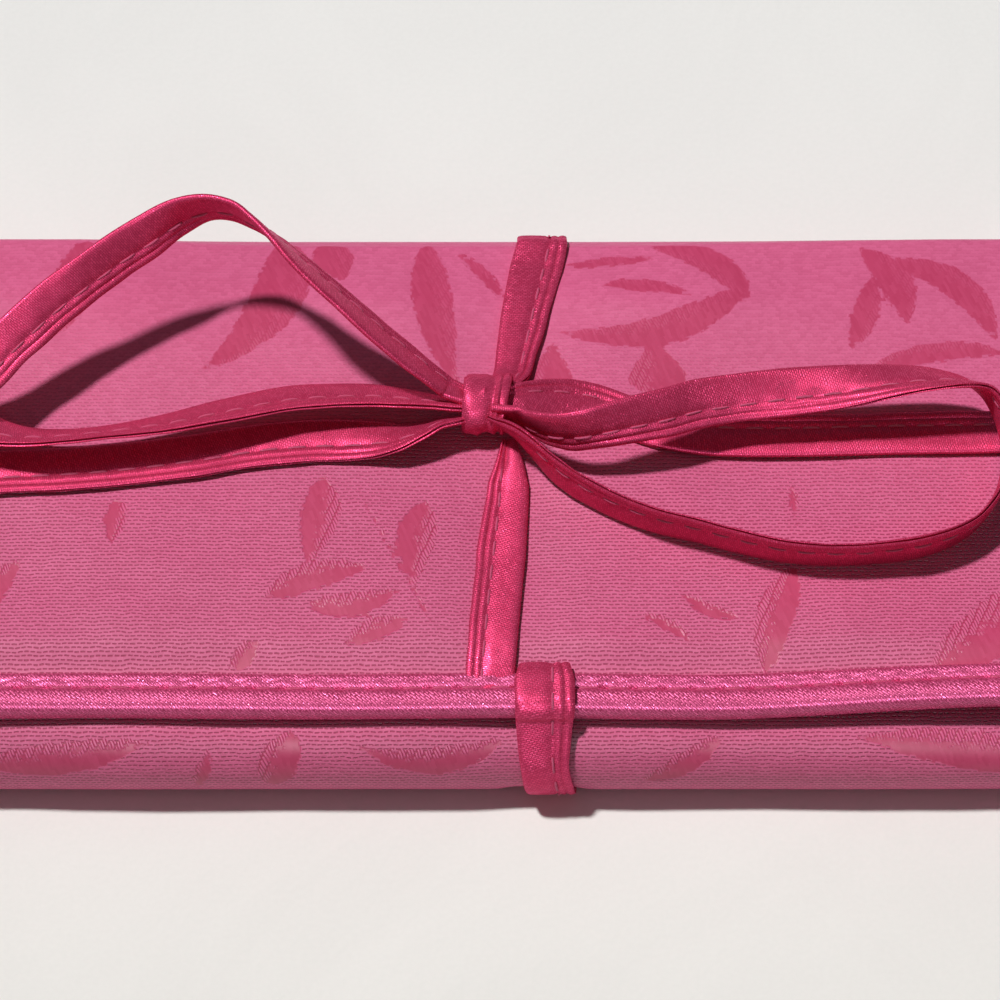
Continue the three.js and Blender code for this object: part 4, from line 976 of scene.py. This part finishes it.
def make_side_bindings(side, way):
    """Each end's binding in two pieces that meet at the middle of the spine: one down and along
    the base over both panels, one up and along the flap."""
    edge = HALF_WIDTH - BIND_WIDTH
    bend = PANEL / 2
    corner_y = HALF_DEPTH - PANEL / 2 - bend
    quarter = math.pi / 2 * bend

    def seam_run(straight, run, up):
        """The seam's middle from the spine's middle up or down, round a quarter turn and along
        the panel: the way so far, the turn's angle, y and z."""
        s = np.arange(0.0, straight + quarter + run, 0.6)
        angle = np.clip((s - straight) / bend, 0.0, math.pi / 2)
        y = corner_y + bend * np.cos(angle) - np.clip(s - straight - quarter, 0, None)
        z = MID_SPINE + up * np.clip(s, 0, straight) + up * bend * np.sin(angle)
        return s, angle, y, z

    def placing(angle, y, z):
        """Puts the section across the seam's run."""
        y, z, angle = y[:, None], z[:, None], angle[:, None]
        return lambda a, b: grid((way * (edge + a), y + b * np.cos(angle), z + b * np.sin(angle)))

    drop = MID_SPINE - (SEAM_LIFT + SEAM / 2) - bend
    s, angle, y, z = seam_run(drop, corner_y + HALF_DEPTH, -1)
    both = 1 - smooth(y, MOUTH + BIND_OUT, MOUTH + BIND_OUT + 3.0)
    half = mix(SEAM / 2, (SEAM_TOP - SEAM_LIFT) / 2, both)
    lower = make_binding(f"edge_binding_lower_{side}", s, half,
                         placing(-angle, y, z + (half - SEAM / 2)), seed=21)
    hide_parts(f"base_binding_{side}")
    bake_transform(lower)

    rise = flap_underside(0.0) + PANEL / 2 - MID_SPINE - bend
    s, angle, y, z = seam_run(rise, corner_y - (FLAP_EDGE + BIND_WIDTH) - JOIN_GAP, 1)
    sag = (flap_underside(y) - flap_underside(0.0)) * smooth(s, rise, rise + quarter)
    z = z + sag + flap_lift(way * edge, y)
    y = y + flap_back(way * edge, y)
    upper = make_binding(f"edge_binding_upper_{side}", s, SEAM / 2, placing(angle, y, z),
                         seed=23)
    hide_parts(f"flap_binding_{side}", f"spine_binding_{side}")
    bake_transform(upper)


# The tie: a flat sewn tube. Its section runs from the smooth folded edge over the face to the
# stitched edge, where two turned-in lips leave a notch between them.
TIE_TOP = np.array([
    (-3.0, 0.12), (-2.86, 0.30), (-2.5, 0.40), (-1.8, 0.43), (-1.0, 0.43), (-0.2, 0.42),
    (0.4, 0.38), (0.75, 0.29), (0.95, 0.25), (1.15, 0.31), (1.4, 0.39), (1.7, 0.38),
    (1.9, 0.28), (2.0, 0.24), (2.12, 0.30), (2.35, 0.40), (2.65, 0.39), (2.9, 0.30),
    (3.0, 0.20), (2.92, 0.10), (2.5, 0.05), (2.1, 0.03),
])
TIE_SECTION = np.concatenate([TIE_TOP, TIE_TOP[::-1] * (1, -1)])
TIE_AROUND = run_along(np.vstack([TIE_SECTION, TIE_SECTION[:1]]))
TIE_SPACING = 0.4  # between its rings
TIE_STITCH = (0.95, 0.27)  # where the stitches lie on the section
TIE_THREAD = (2.2, 0.16)  # their length and radius


def catmull(route):
    """Even steps along the Catmull-Rom curve through the route's rows: places, width
    directions square to the way along, face directions, and the length so far."""
    rows = np.array(route, float)
    ends = np.vstack([2 * rows[0] - rows[1], rows, 2 * rows[-1] - rows[-2]])
    t = np.linspace(0, len(rows) - 1, 40 * (len(rows) - 1) + 1)
    i = np.minimum(t.astype(int), len(rows) - 2)
    f = (t - i)[:, None]
    a, b, c, d = (ends[i + k] for k in range(4))
    fine = 0.5 * (2 * b + (c - a) * f + (2 * a - 5 * b + 4 * c - d) * f**2
                  + (3 * b - a - 3 * c + d) * f**3)
    way = run_along(fine[:, :3])
    s = np.linspace(0, way[-1], max(4, round(way[-1] / TIE_SPACING) + 1))
    even = sample(s, way, fine)
    tangent = unit(np.gradient(even[:, :3], axis=0))
    width = square_to(even[:, 3:], tangent)
    return even[:, :3], width, np.cross(tangent, width), s


def tie_rings(route, widths, seed, flip=1):
    """The tie's section carried along a route. Its edges wander a little, the stitches pinch
    it, and widths, pairs of a distance and a share of its full width, narrow and thicken it
    where it is gathered; distances below zero count from its end."""
    place, width, face, s = catmull(route)
    a, b = TIE_SECTION[None, :, 0], TIE_SECTION[None, :, 1]
    phase = 2 * math.pi * s[:, None] / STITCH_PITCH
    slow, quick = ripple_along(s, 17.0, seed), ripple_along(s, 5.0, seed + 1)
    a = a + smooth(a, 0.5, 3.0) * (0.10 * slow + 0.05 * quick)
    pinch = 1 - 0.3 * np.exp(-((a - TIE_STITCH[0]) / 0.5) ** 2) * (0.5 + 0.5 * np.cos(phase))
    lips = 1 + 0.25 * smooth(a, 1.2, 2.4) * (0.6 * slow + 0.4 * quick)
    b = b * pinch * lips + 0.05 * slow * np.sin(a + quick)
    at = [s[-1] + distance if distance < 0 else distance for distance, _ in widths]
    drawn = np.interp(s, at, [width for _, width in widths])[:, None]
    a = a * drawn * flip
    b = b * (1 + 0.7 * np.clip(1 - drawn, 0, 1))
    rings = place[:, None] + width[:, None] * a[..., None] + face[:, None] * b[..., None]
    return rings, place, width, face, s


def tie_piece(name, node, rings, frames, flip=1):
    """A stretch of the tie with its row of stitches on both faces."""
    place, width, face, s = frames
    parts = [(tube_shape(rings, TIE_AROUND, s), tie_satin)]
    wanted = np.arange(s[0] + STITCH_PITCH / 2, s[-1] - STITCH_LENGTH / 2, STITCH_PITCH)
    if len(wanted):
        middle, wide, out = (sample(wanted, s, values) for values in (place, width, face))
        wide, out = unit(wide), unit(out)
        for way in (1, -1):
            at = middle + wide * TIE_STITCH[0] * flip + out * way * TIE_STITCH[1]
            stitches = stitch_shape(at, np.cross(wide, out), out * way, *TIE_THREAD)
            parts.append((stitches, thread))
    made = piece(name, parts)
    if node:
        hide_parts(node)
    return made


def hold_on_flap(made):
    """It rides on the flap, with a mesh of its own."""
    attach(made, "flap")
    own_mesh(made)


ALONG_X = (1, 0, 0)
TIE_OFF = 0.5  # its middle is this far off the cloth that it lies on

# The bow's routes: the middle of the tie and the way that its stitched edge lies from it
LEFT_LOOP = [
    (-4.6, 7.6, 20, 0.3, 0.8, -0.52), (-8, 8.8, 20.7, 0.3, 0.8, -0.52),
    (-8.5, 9.1, 20.9, 0.28, 0.78, -0.57), (-10.6, 10, 22.6, 0.26, 0.76, -0.59),
    (-13.4, 11.5, 24.4, 0.27, 0.76, -0.59), (-16.1, 12.9, 26.3, 0.27, 0.75, -0.6),
    (-18.7, 14.4, 28.2, 0.27, 0.74, -0.61), (-21.4, 16.2, 29.9, 0.25, 0.73, -0.64),
    (-23.9, 17.8, 31.4, 0.23, 0.71, -0.66), (-26.4, 19.8, 32.5, 0.19, 0.68, -0.71),
    (-29.1, 22.5, 33.1, 0.07, 0.59, -0.8), (-32, 25.1, 33.2, -0.06, 0.45, -0.89),
    (-34.7, 26.9, 33.1, -0.08, 0.27, -0.96), (-37.9, 27.4, 32.8, 0.06, 0.07, -1),
    (-41.3, 26.6, 32, 0.31, -0.16, -0.94), (-45.2, 24.4, 30.8, 0.47, -0.35, -0.81),
    (-48.8, 22.1, 30, 0.5, -0.38, -0.77), (-52.4, 19.5, 29.1, 0.54, -0.39, -0.74),
    (-56, 16.9, 28, 0.61, -0.47, -0.64), (-59.4, 13.9, 26.9, 0.68, -0.51, -0.53),
    (-62.8, 10.7, 25.6, 0.73, -0.54, -0.42), (-65.9, 7.6, 23.6, 0.36, -0.93, -0.1),
    (-67.5, 5.6, 21.4, 0.05, -0.99, 0.1), (-66.1, 4, 20.2, 0, -0.97, 0.25),
    (-62.9, 2.6, 20.4, 0, -0.86, 0.51), (-58, 1.7, 20.8, 0, -0.75, 0.66),
    (-50.7, 2.2, 20.9, 0, -0.7, 0.71), (-42.7, 3.6, 20.9, 0, -0.78, 0.62),
    (-35.5, 5.6, 20.7, 0, -0.85, 0.53), (-28.1, 7.6, 20.3, 0, -0.87, 0.5),
    (-22.4, 8.3, 20, 0, -0.85, 0.53), (-16.8, 8.5, 19.7, 0, -0.82, 0.57),
    (-11.1, 7.8, 19.6, 0, -0.75, 0.66), (-7.4, 7.1, 19.7, 0, -0.71, 0.71),
    (-4.4, 7, 19.6, 0, -0.71, 0.71),
]
RIGHT_LOOP = [
    (-2.4, 5.6, 20.4, 0, 0.2, -0.98), (0.6, 4.6, 21.1, 0, 0.2, -0.98),
    (1.9, 3.4, 21.4, 0, 0.1, -1), (4, 1.9, 22.3, 0, -0.1, -1), (6.2, 1.1, 23.1, 0, -0.2, -0.98),
    (8.6, 0.9, 23.8, 0, -0.35, -0.94), (11.3, 1.4, 24.1, 0, -0.5, -0.87),
    (14.2, 2.1, 24.2, 0, -0.62, -0.78), (18.4, 3.3, 24, 0, -0.75, -0.66),
    (22.4, 4.8, 23.6, 0, -0.83, -0.55), (27.4, 5.9, 23.2, 0, -0.87, -0.5),
    (33.6, 6.8, 23.2, 0, -0.95, -0.3), (39.6, 7.2, 23.6, 0, -0.99, -0.1),
    (45.6, 7.7, 24.1, 0, -0.96, 0.28), (50.6, 7.9, 24.3, 0, -0.85, 0.53),
    (54.9, 7.7, 23.9, 0.05, -0.65, 0.76), (57.7, 6.6, 23.2, 0.1, -0.4, 0.91),
    (59.3, 4.1, 22.3, 0.1, -0.2, 0.97), (60, 0.7, 21.3, 0.1, -0.1, 0.99),
    (59.6, -3, 20.4, 0.1, -0.15, 0.98), (58.2, -6.5, 19.9, 0.05, -0.3, 0.95),
    (55.9, -9.5, 19.5, 0, -0.3, 0.95), (53.1, -11.5, 19.4, 0, -0.22, 0.98),
    (49, -13.1, 19.4, 0, -0.17, 0.99), (43.9, -13.9, 19.4, 0, -0.15, 0.99),
    (39.1, -14.2, 19.4, 0, -0.15, 0.99), (33.1, -13.8, 19.4, 0, -0.14, 0.99),
    (27.7, -12.5, 19.4, 0, -0.12, 0.99), (22.2, -10.8, 19.4, 0, -0.1, 0.99),
    (16.2, -9, 19.4, 0, -0.08, 1), (10.3, -6.1, 19.4, 0, -0.05, 1), (5.5, -2.7, 19.6, 0, -0.05, 1),
    (2.1, 0.6, 20.5, 0, -0.2, 0.98), (0.1, 2.5, 20.7, 0, -0.35, 0.94),
    (-2.6, 4.6, 20.2, 0, -0.5, 0.87),
]
LEFT_TAIL = [
    (-4.6, 5.8, 19.1, 0, -0.6, 0.8), (-7.1, 5, 19.3, 0, -0.6, 0.8),
    (-9.1, 4.7, 19.1, 0, -0.65, 0.76), (-11.1, 4, 18.7, 0, -0.75, 0.66),
    (-13.9, 3.5, 18, 0, -0.88, 0.47), (-17, 3.6, 17.3, 0, -0.98, 0.2),
    (-20.8, 3.7, 16.9, 0, -1, 0.04), (-25.1, 3.7, 16.8, 0, -1, 0), (-31.2, 3.1, 16.8, 0, -1, 0),
    (-38.7, 1.7, 16.8, 0, -1, 0), (-45.8, 0.6, 16.8, 0, -1, 0), (-53.1, -0.2, 16.8, 0, -1, 0),
    (-62.9, -0.8, 16.8, 0, -1, 0), (-71.4, -1.2, 16.8, 0, -1, 0), (-80, -1.7, 16.6, 0, -1, 0),
]
RIGHT_TAIL = [
    (-2.4, 7.3, 20.3, 0, 1, 0), (0.3, 7.6, 20.1, 0, 1, 0), (2.5, 8.2, 19.4, 0, 1, 0),
    (5.6, 8.9, 18.2, 0, 1, 0), (9.3, 8.9, 17.2, -0.1, 1, 0), (13.6, 7.4, 16.8, -0.24, 0.97, 0),
    (17.9, 5.8, 16.8, -0.21, 0.98, 0), (22.8, 4.8, 16.8, -0.08, 1, 0), (27.7, 4.5, 16.8, 0, 1, 0),
    (35, 4.5, 16.8, 0, 1, 0), (44.9, 4.8, 16.8, 0, 1, 0), (57.8, 5, 16.8, 0, 1, 0),
    (69.5, 5.5, 16.8, 0, 1, 0), (79.4, 6.1, 16.6, 0, 1, 0),
]


def make_bow():
    """The loops and tails, each a stretch of the flat tie, and the knot round their
    crossing."""
    gathered = ((0, 0.6), (3, 0.72), (10, 1.0), (-10, 1.0), (-3, 0.72), (-0.01, 0.6))
    for side, part, route, far_end, exit_at, seed, widths in (
        ("left", "loop", LEFT_LOOP, "object", (-6.7, 8.2, 20.4), 31, gathered),
        ("right", "loop", RIGHT_LOOP, "object", (-0.3, 5.0, 20.8), 33, gathered),
        ("left", "tail", LEFT_TAIL, "bare", (-6.7, 5.2, 19.3), 35, gathered[:3]),
        ("right", "tail", RIGHT_TAIL, "bare", (-0.3, 8.6, 18.6), 37, gathered[:3]),
    ):
        rings, *frames = tie_rings(route, widths, seed)
        made = tie_piece(f"bow_{side}_{part}", f"bow_{part}_{side}", rings, frames)
        hold_on_flap(made)
    make_knot()


def make_knot():
    """One turn of the tie on an ellipse that leans to one side, creased and a little narrowed,
    round a core of gathered satin."""
    turn = np.linspace(0, 2 * math.pi, 33)[:-1]
    half_y, half_z, mean_radius = 3.5, 2.65, 3.6
    core_y, core_z = 3.1, 2.25
    lean = 0.35
    x, y, z = KNOT
    cos, sin = np.cos(turn), np.sin(turn)
    middle = grid((x + lean * cos, y + half_y * cos, z + half_z * sin))
    out = unit(grid((0.0, cos / half_y, sin / half_z)))
    a, b = TIE_SECTION[None, :, 0], TIE_SECTION[None, :, 1]
    crease = (0.12 * np.sin(3 * a + 2 * sin[:, None])
              + 0.1 * np.sin(5.2 * a + 1.4 * np.cos(2 * turn)[:, None])
              - 0.3 * np.exp(-((a - 0.4) / 0.3) ** 2))
    narrow = 0.94 + 0.06 * cos[:, None]
    lift = b * 1.05 + crease * np.sign(b) * smooth(b, 0.0, 0.3)
    rings = (middle[:, None] + np.array(ALONG_X) * (a * narrow)[..., None]
             + out[:, None] * lift[..., None])
    length = np.linspace(0, 2 * math.pi * mean_radius, 33)
    band = tube_shape(rings, TIE_AROUND, length, closed=True)
    reach = 2.8
    xs = np.linspace(-reach, reach, 12)[:, None]
    ring = ((np.arange(24) + 0.5) * math.pi / 12)[None, :]
    slim = 0.94 - 0.1 * (xs / reach) ** 4 + 0.03 * np.sin(5 * ring)
    core = grid((x + xs, y + core_y * slim * np.cos(ring), z + core_z * slim * np.sin(ring)))
    core_shape = tube_shape(core, np.linspace(0, 20, 25), xs.ravel())
    knot = piece("bow_knot_wrap", [(band, tie_satin), (core_shape, tie_satin)])
    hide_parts("bow_knot")
    hold_on_flap(knot)


def on_flap(x, y, off):
    """A place that far off the flap's outside, and as far back as its cloth is drawn."""
    _, drawn_y, z = flap_point(np.array(x), np.array(y), 0.0)
    return (x, float(drawn_y), float(z) + off)


def make_short_end():
    """The short strand, from the flap's binding, where it is sewn in, to the knot."""
    route = [(-3.1, -30.2, on_flap(-3.1, -28.8, -0.4)[2], *ALONG_X)]
    for y in (-28.6, -25, -20, -16, -12, -8, -4.6, -1.8, 0.4, 3.8):
        x = float(np.interp(y, (-28.8, -16, -4.6, 0.4), (-3.0, -2.0, -0.95, -0.65)))
        route.append((*on_flap(x, y, TIE_OFF + 0.4 * float(smooth(y, -6.0, 4.0))), *ALONG_X))
    widths = ((0, 1.0), (-16, 1.0), (-6, 0.84), (-0.01, 0.3))
    rings, *frames = tie_rings(route, widths, seed=41, flip=-1)
    hold_on_flap(tie_piece("tie_short_end", "tie_short_strand", rings, frames, flip=-1))


def wrap_route():
    """The long strand's way round the pouch, and its rows where each stretch but the last ends:
    over the flap's edge, down the front, under the base, up the spine and over the back."""
    ends = []

    def on_arc(y, z, radius, angle, x=TIE_X):
        """A place at an angle on a circle about the X line through y and z."""
        return (x, y + radius * math.cos(angle), z + radius * math.sin(angle), *ALONG_X)

    nose_y, nose_z, reach = -31.7, 14.087 - FLAP_DIP, 2.28
    route = [(TIE_X, nose_y + behind, nose_z + reach - sunk, *ALONG_X)
             for behind, sunk in ((4.45, 0.35), (2.95, 0.0))]
    for angle in np.linspace(math.pi / 2, math.pi * 1.02, 5):
        route.append(on_arc(nose_y, nose_z, reach, angle))

    # From there it hangs free to where it touches the front fold
    ends.append(len(route))
    radius = POCKET_TOP / 2
    fold_y = -HALF_DEPTH + radius
    out = radius + TIE_OFF
    droop = 0.6
    toward = (route[-1][1] - fold_y, route[-1][2] - droop - radius)
    touch = math.atan2(toward[1], toward[0]) + math.acos(min(1, out / math.hypot(*toward)))
    for angle in np.linspace(touch, math.pi * 1.5, 8):
        lift = float(smooth(1.5 - angle / math.pi, 0.0, 0.5))
        r = out - GROOVE * (1 - lift)
        r = r * (1 + FOOT_BULGE * math.sin(2 * angle) ** 2 * (angle > math.pi))
        aside = smooth(angle, touch, 1.2 * math.pi) - smooth(angle, 1.25 * math.pi, 1.5 * math.pi)
        route.append(on_arc(fold_y, radius, r, angle, TIE_X + 0.9 * float(aside)))
    ends.append(len(route) - 1)
    off_table, off_spine, off_fold = 0.47, 0.72, 0.6
    route += [(TIE_X, y, off_table, *ALONG_X) for y in (-20, -8, 6, 20, 32)]
    ends.append(len(route) - 1)
    for angle in np.linspace(-math.pi / 2, 0, 4):
        r = PANEL - GROOVE * (1 - float(smooth(angle, -math.pi / 2, 0))) + off_spine
        route.append(on_arc(SPINE_FACE, HINGE_LOW, r, angle))
    route.append((TIE_X, HALF_DEPTH + off_spine, MID_SPINE, *ALONG_X))
    ends.append(len(route) - 1)
    for angle in np.linspace(0, math.pi / 2, 4):
        give = float(shoulder(HINGE_HIGH - MID_SPINE + PANEL * angle, 0.0, TIE_X))
        r = PANEL + off_fold - give
        route.append(on_arc(SPINE_FACE, HINGE_HIGH, r, angle))
    ends.append(len(route) - 1)
    for share in np.linspace(0.15, 1.0, 6):
        x, y = mix(TIE_X, -0.4, share), mix(SPINE_FACE, 13.6, share)
        route.append((*on_flap(x, y, TIE_OFF + 0.6 * share**3), *ALONG_X))
    route.append((-1.6, 10.4, 18.9, *ALONG_X))
    return route, ends


def make_wrap():
    """The long strand, as one run that is cut where it passes from one body to the next."""
    route, ends = wrap_route()
    widths = ((0, 1.0), (2.5, 1.2), (8, 1.15), (14, 0.98), (30, 1.0), (-32, 1.0), (-22, 1.1),
              (-13, 0.98), (-4, 0.74), (-0.01, 0.62))
    rings, *frames = tie_rings(route, widths, seed=43)
    place = frames[0]
    cuts = [0]
    for row in ends:
        ahead = place[cuts[-1] + 1:]
        nearest = np.argmin(np.linalg.norm(ahead - np.array(route[row][:3]), axis=1))
        cuts.append(cuts[-1] + 1 + int(nearest))
    cuts.append(len(place) - 1)
    names = (("tie_over_edge", "tie_edge_fold"), ("tie_front", "tie_front_band"),
             ("tie_under", "tie_under_band"), ("tie_rear_lower", None),
             ("tie_rear_upper", "tie_rear_band"), ("tie_top", "tie_top_strand"))
    made = {}
    for (name, node), start, end in zip(names, cuts, cuts[1:]):
        cut = slice(start, end + 1)
        made[name] = tie_piece(name, node, rings[cut], [part[cut] for part in frames])
    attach(made["tie_over_edge"], "flap")
    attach(made["tie_front"], "flap")
    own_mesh(made["tie_front"])
    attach(made["tie_under"], "base")
    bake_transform(made["tie_rear_lower"])
    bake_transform(made["tie_rear_upper"])
    hold_on_flap(made["tie_top"])


# The zip
def tooth_rings(x, way):
    """Teeth in a row: each is a block with rounded square rings, whose head is a little wider
    than its neck."""
    lengthwise = np.array([0.5, -0.1, -0.8, -1.6, -1.9])  # from the zip's middle outwards
    thick = np.array([0.34, 0.40, 0.30, 0.36, 0.30])
    high = np.array([0.42, 0.58, 0.60, 0.60, 0.50])
    turn = (np.arange(8) + 0.5) * math.pi / 4
    square = 1 / np.maximum(np.abs(np.cos(turn)), np.abs(np.sin(turn))) ** 0.8
    return grid((x[:, None, None] + thick[:, None] * square * np.cos(turn),
                 ZIP_Y - way * lengthwise[:, None],
                 ZIP_Z + high[:, None] * square * 0.88 * np.sin(turn)))


def make_zip():
    """Both tapes with their rows of teeth, half a pitch apart, and the metal's look."""
    count = math.floor(2 * ZIP_HALF / TOOTH_PITCH)
    columns = np.linspace(*TAPE_ENDS, 160)[None, :]
    lines = np.linspace(*TAPE_EDGES, 14)[:, None]
    cord_at, cord_height = TAPE_CORD
    half = TAPE_HALF + cord_height * np.exp(-((lines - cord_at) / 0.5) ** 2)
    for name, way, shift in (("front", -1, 0.0), ("rear", 1, 0.5)):
        x = -ZIP_HALF + (np.arange(count) + shift) * TOOTH_PITCH + FIRST_TOOTH
        row = many_tubes(tooth_rings(x, way), np.linspace(0, 4, 9), np.arange(5.0))
        faces_at = [grid((columns, ZIP_Y + way * lines, ZIP_Z + level * half))
                    for level in (1, -1)]
        tape = ply_shape(*faces_at, columns, lines)
        made = piece(f"zip_tape_{name}", [(tape, zip_cloth), (row, teeth)])
        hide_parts(f"zip_{name}_tape")
        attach(made, "base")
    for node in ("zip_slider", "zip_pull", "zip_bottom_stop"):
        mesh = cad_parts[node].data
        mesh.materials.clear()
        mesh.materials.append(brass)


def make_zip_pocket():
    """The pocket behind the zip, one thin ply that comes down off the wadding."""
    x = np.linspace(-68, 68, 100)[None, :]
    slope = (15.5, 19.5)
    y = spread((-25, *slope, 34.5), (2.0, 0.8, 1.5))[:, None]
    down = smooth(y, *slope)
    level = mix(2.5, 0.9, down) + groove(x, 0.0) * mix(0.3, 1.0, down)
    faces_at = [grid((x, y, level + up)) for up in (0.2, 0.0)]
    bag = ply("zip_pocket_cloth", faces_at, x, y, lining_satin)
    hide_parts("zip_pocket_backing")
    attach(bag, "base")


def make_stage():
    """The table, the room's pale light and the two windows."""
    reach = 3.0
    mesh = bpy.data.meshes.new("floor")
    mesh.from_pydata([(-reach, -reach, 0), (reach, -reach, 0), (reach, reach, 0),
                      (-reach, reach, 0)], [], [(0, 1, 2, 3)])
    mesh.materials.append(floor_material())
    show("floor", mesh)

    world = bpy.data.worlds.new("studio")
    world.use_nodes = True
    sky = world.node_tree.nodes["Background"].inputs
    sky["Color"].default_value = (1.0, 0.985, 0.99, 1.0)
    sky["Strength"].default_value = 0.1
    bpy.context.scene.world = world

    sun = bpy.data.lights.new("window", "SUN")
    sun.energy = 2.86
    sun.angle = math.radians(5.0)
    aim(show("window", sun), (0.37, -0.12, -1.0))

    # A window on the camera's side, whose light the satin throws back from its rolled edges
    panel = bpy.data.lights.new("front_window", "AREA")
    panel.size = 0.3
    panel.energy = 4.5
    panel.color = (0.93, 0.94, 1.0)
    front = show("front_window", panel)
    front.location = (-0.05, -0.7, 0.72)
    front.visible_diffuse = False
    aim(front, (0.05, 0.7, -0.705))


def make_camera():
    """The photograph's view, from 0.6 m away and 58 degrees above the table."""
    elevation = math.radians(58.0)
    distance = 600.0
    target = np.array([-1.8, -4.3, 16.0])
    back = np.array([0.0, -math.cos(elevation), math.sin(elevation)])
    view = bpy.data.cameras.new("camera")
    view.lens = 177.1
    view.sensor_width = 36.0
    view.clip_start = 0.01
    view.clip_end = 20.0
    camera = show("camera", view)
    camera.location = ((target + back * distance) * MM).tolist()
    aim(camera, tuple(-back))
    bpy.context.scene.camera = camera


bpy.context.scene.view_settings.view_transform = "Standard"
make_camera()
make_bow()
make_short_end()
make_wrap()
make_brocade()
make_lining()
make_wadding()
make_bindings()
make_zip()
make_zip_pocket()
make_stage()
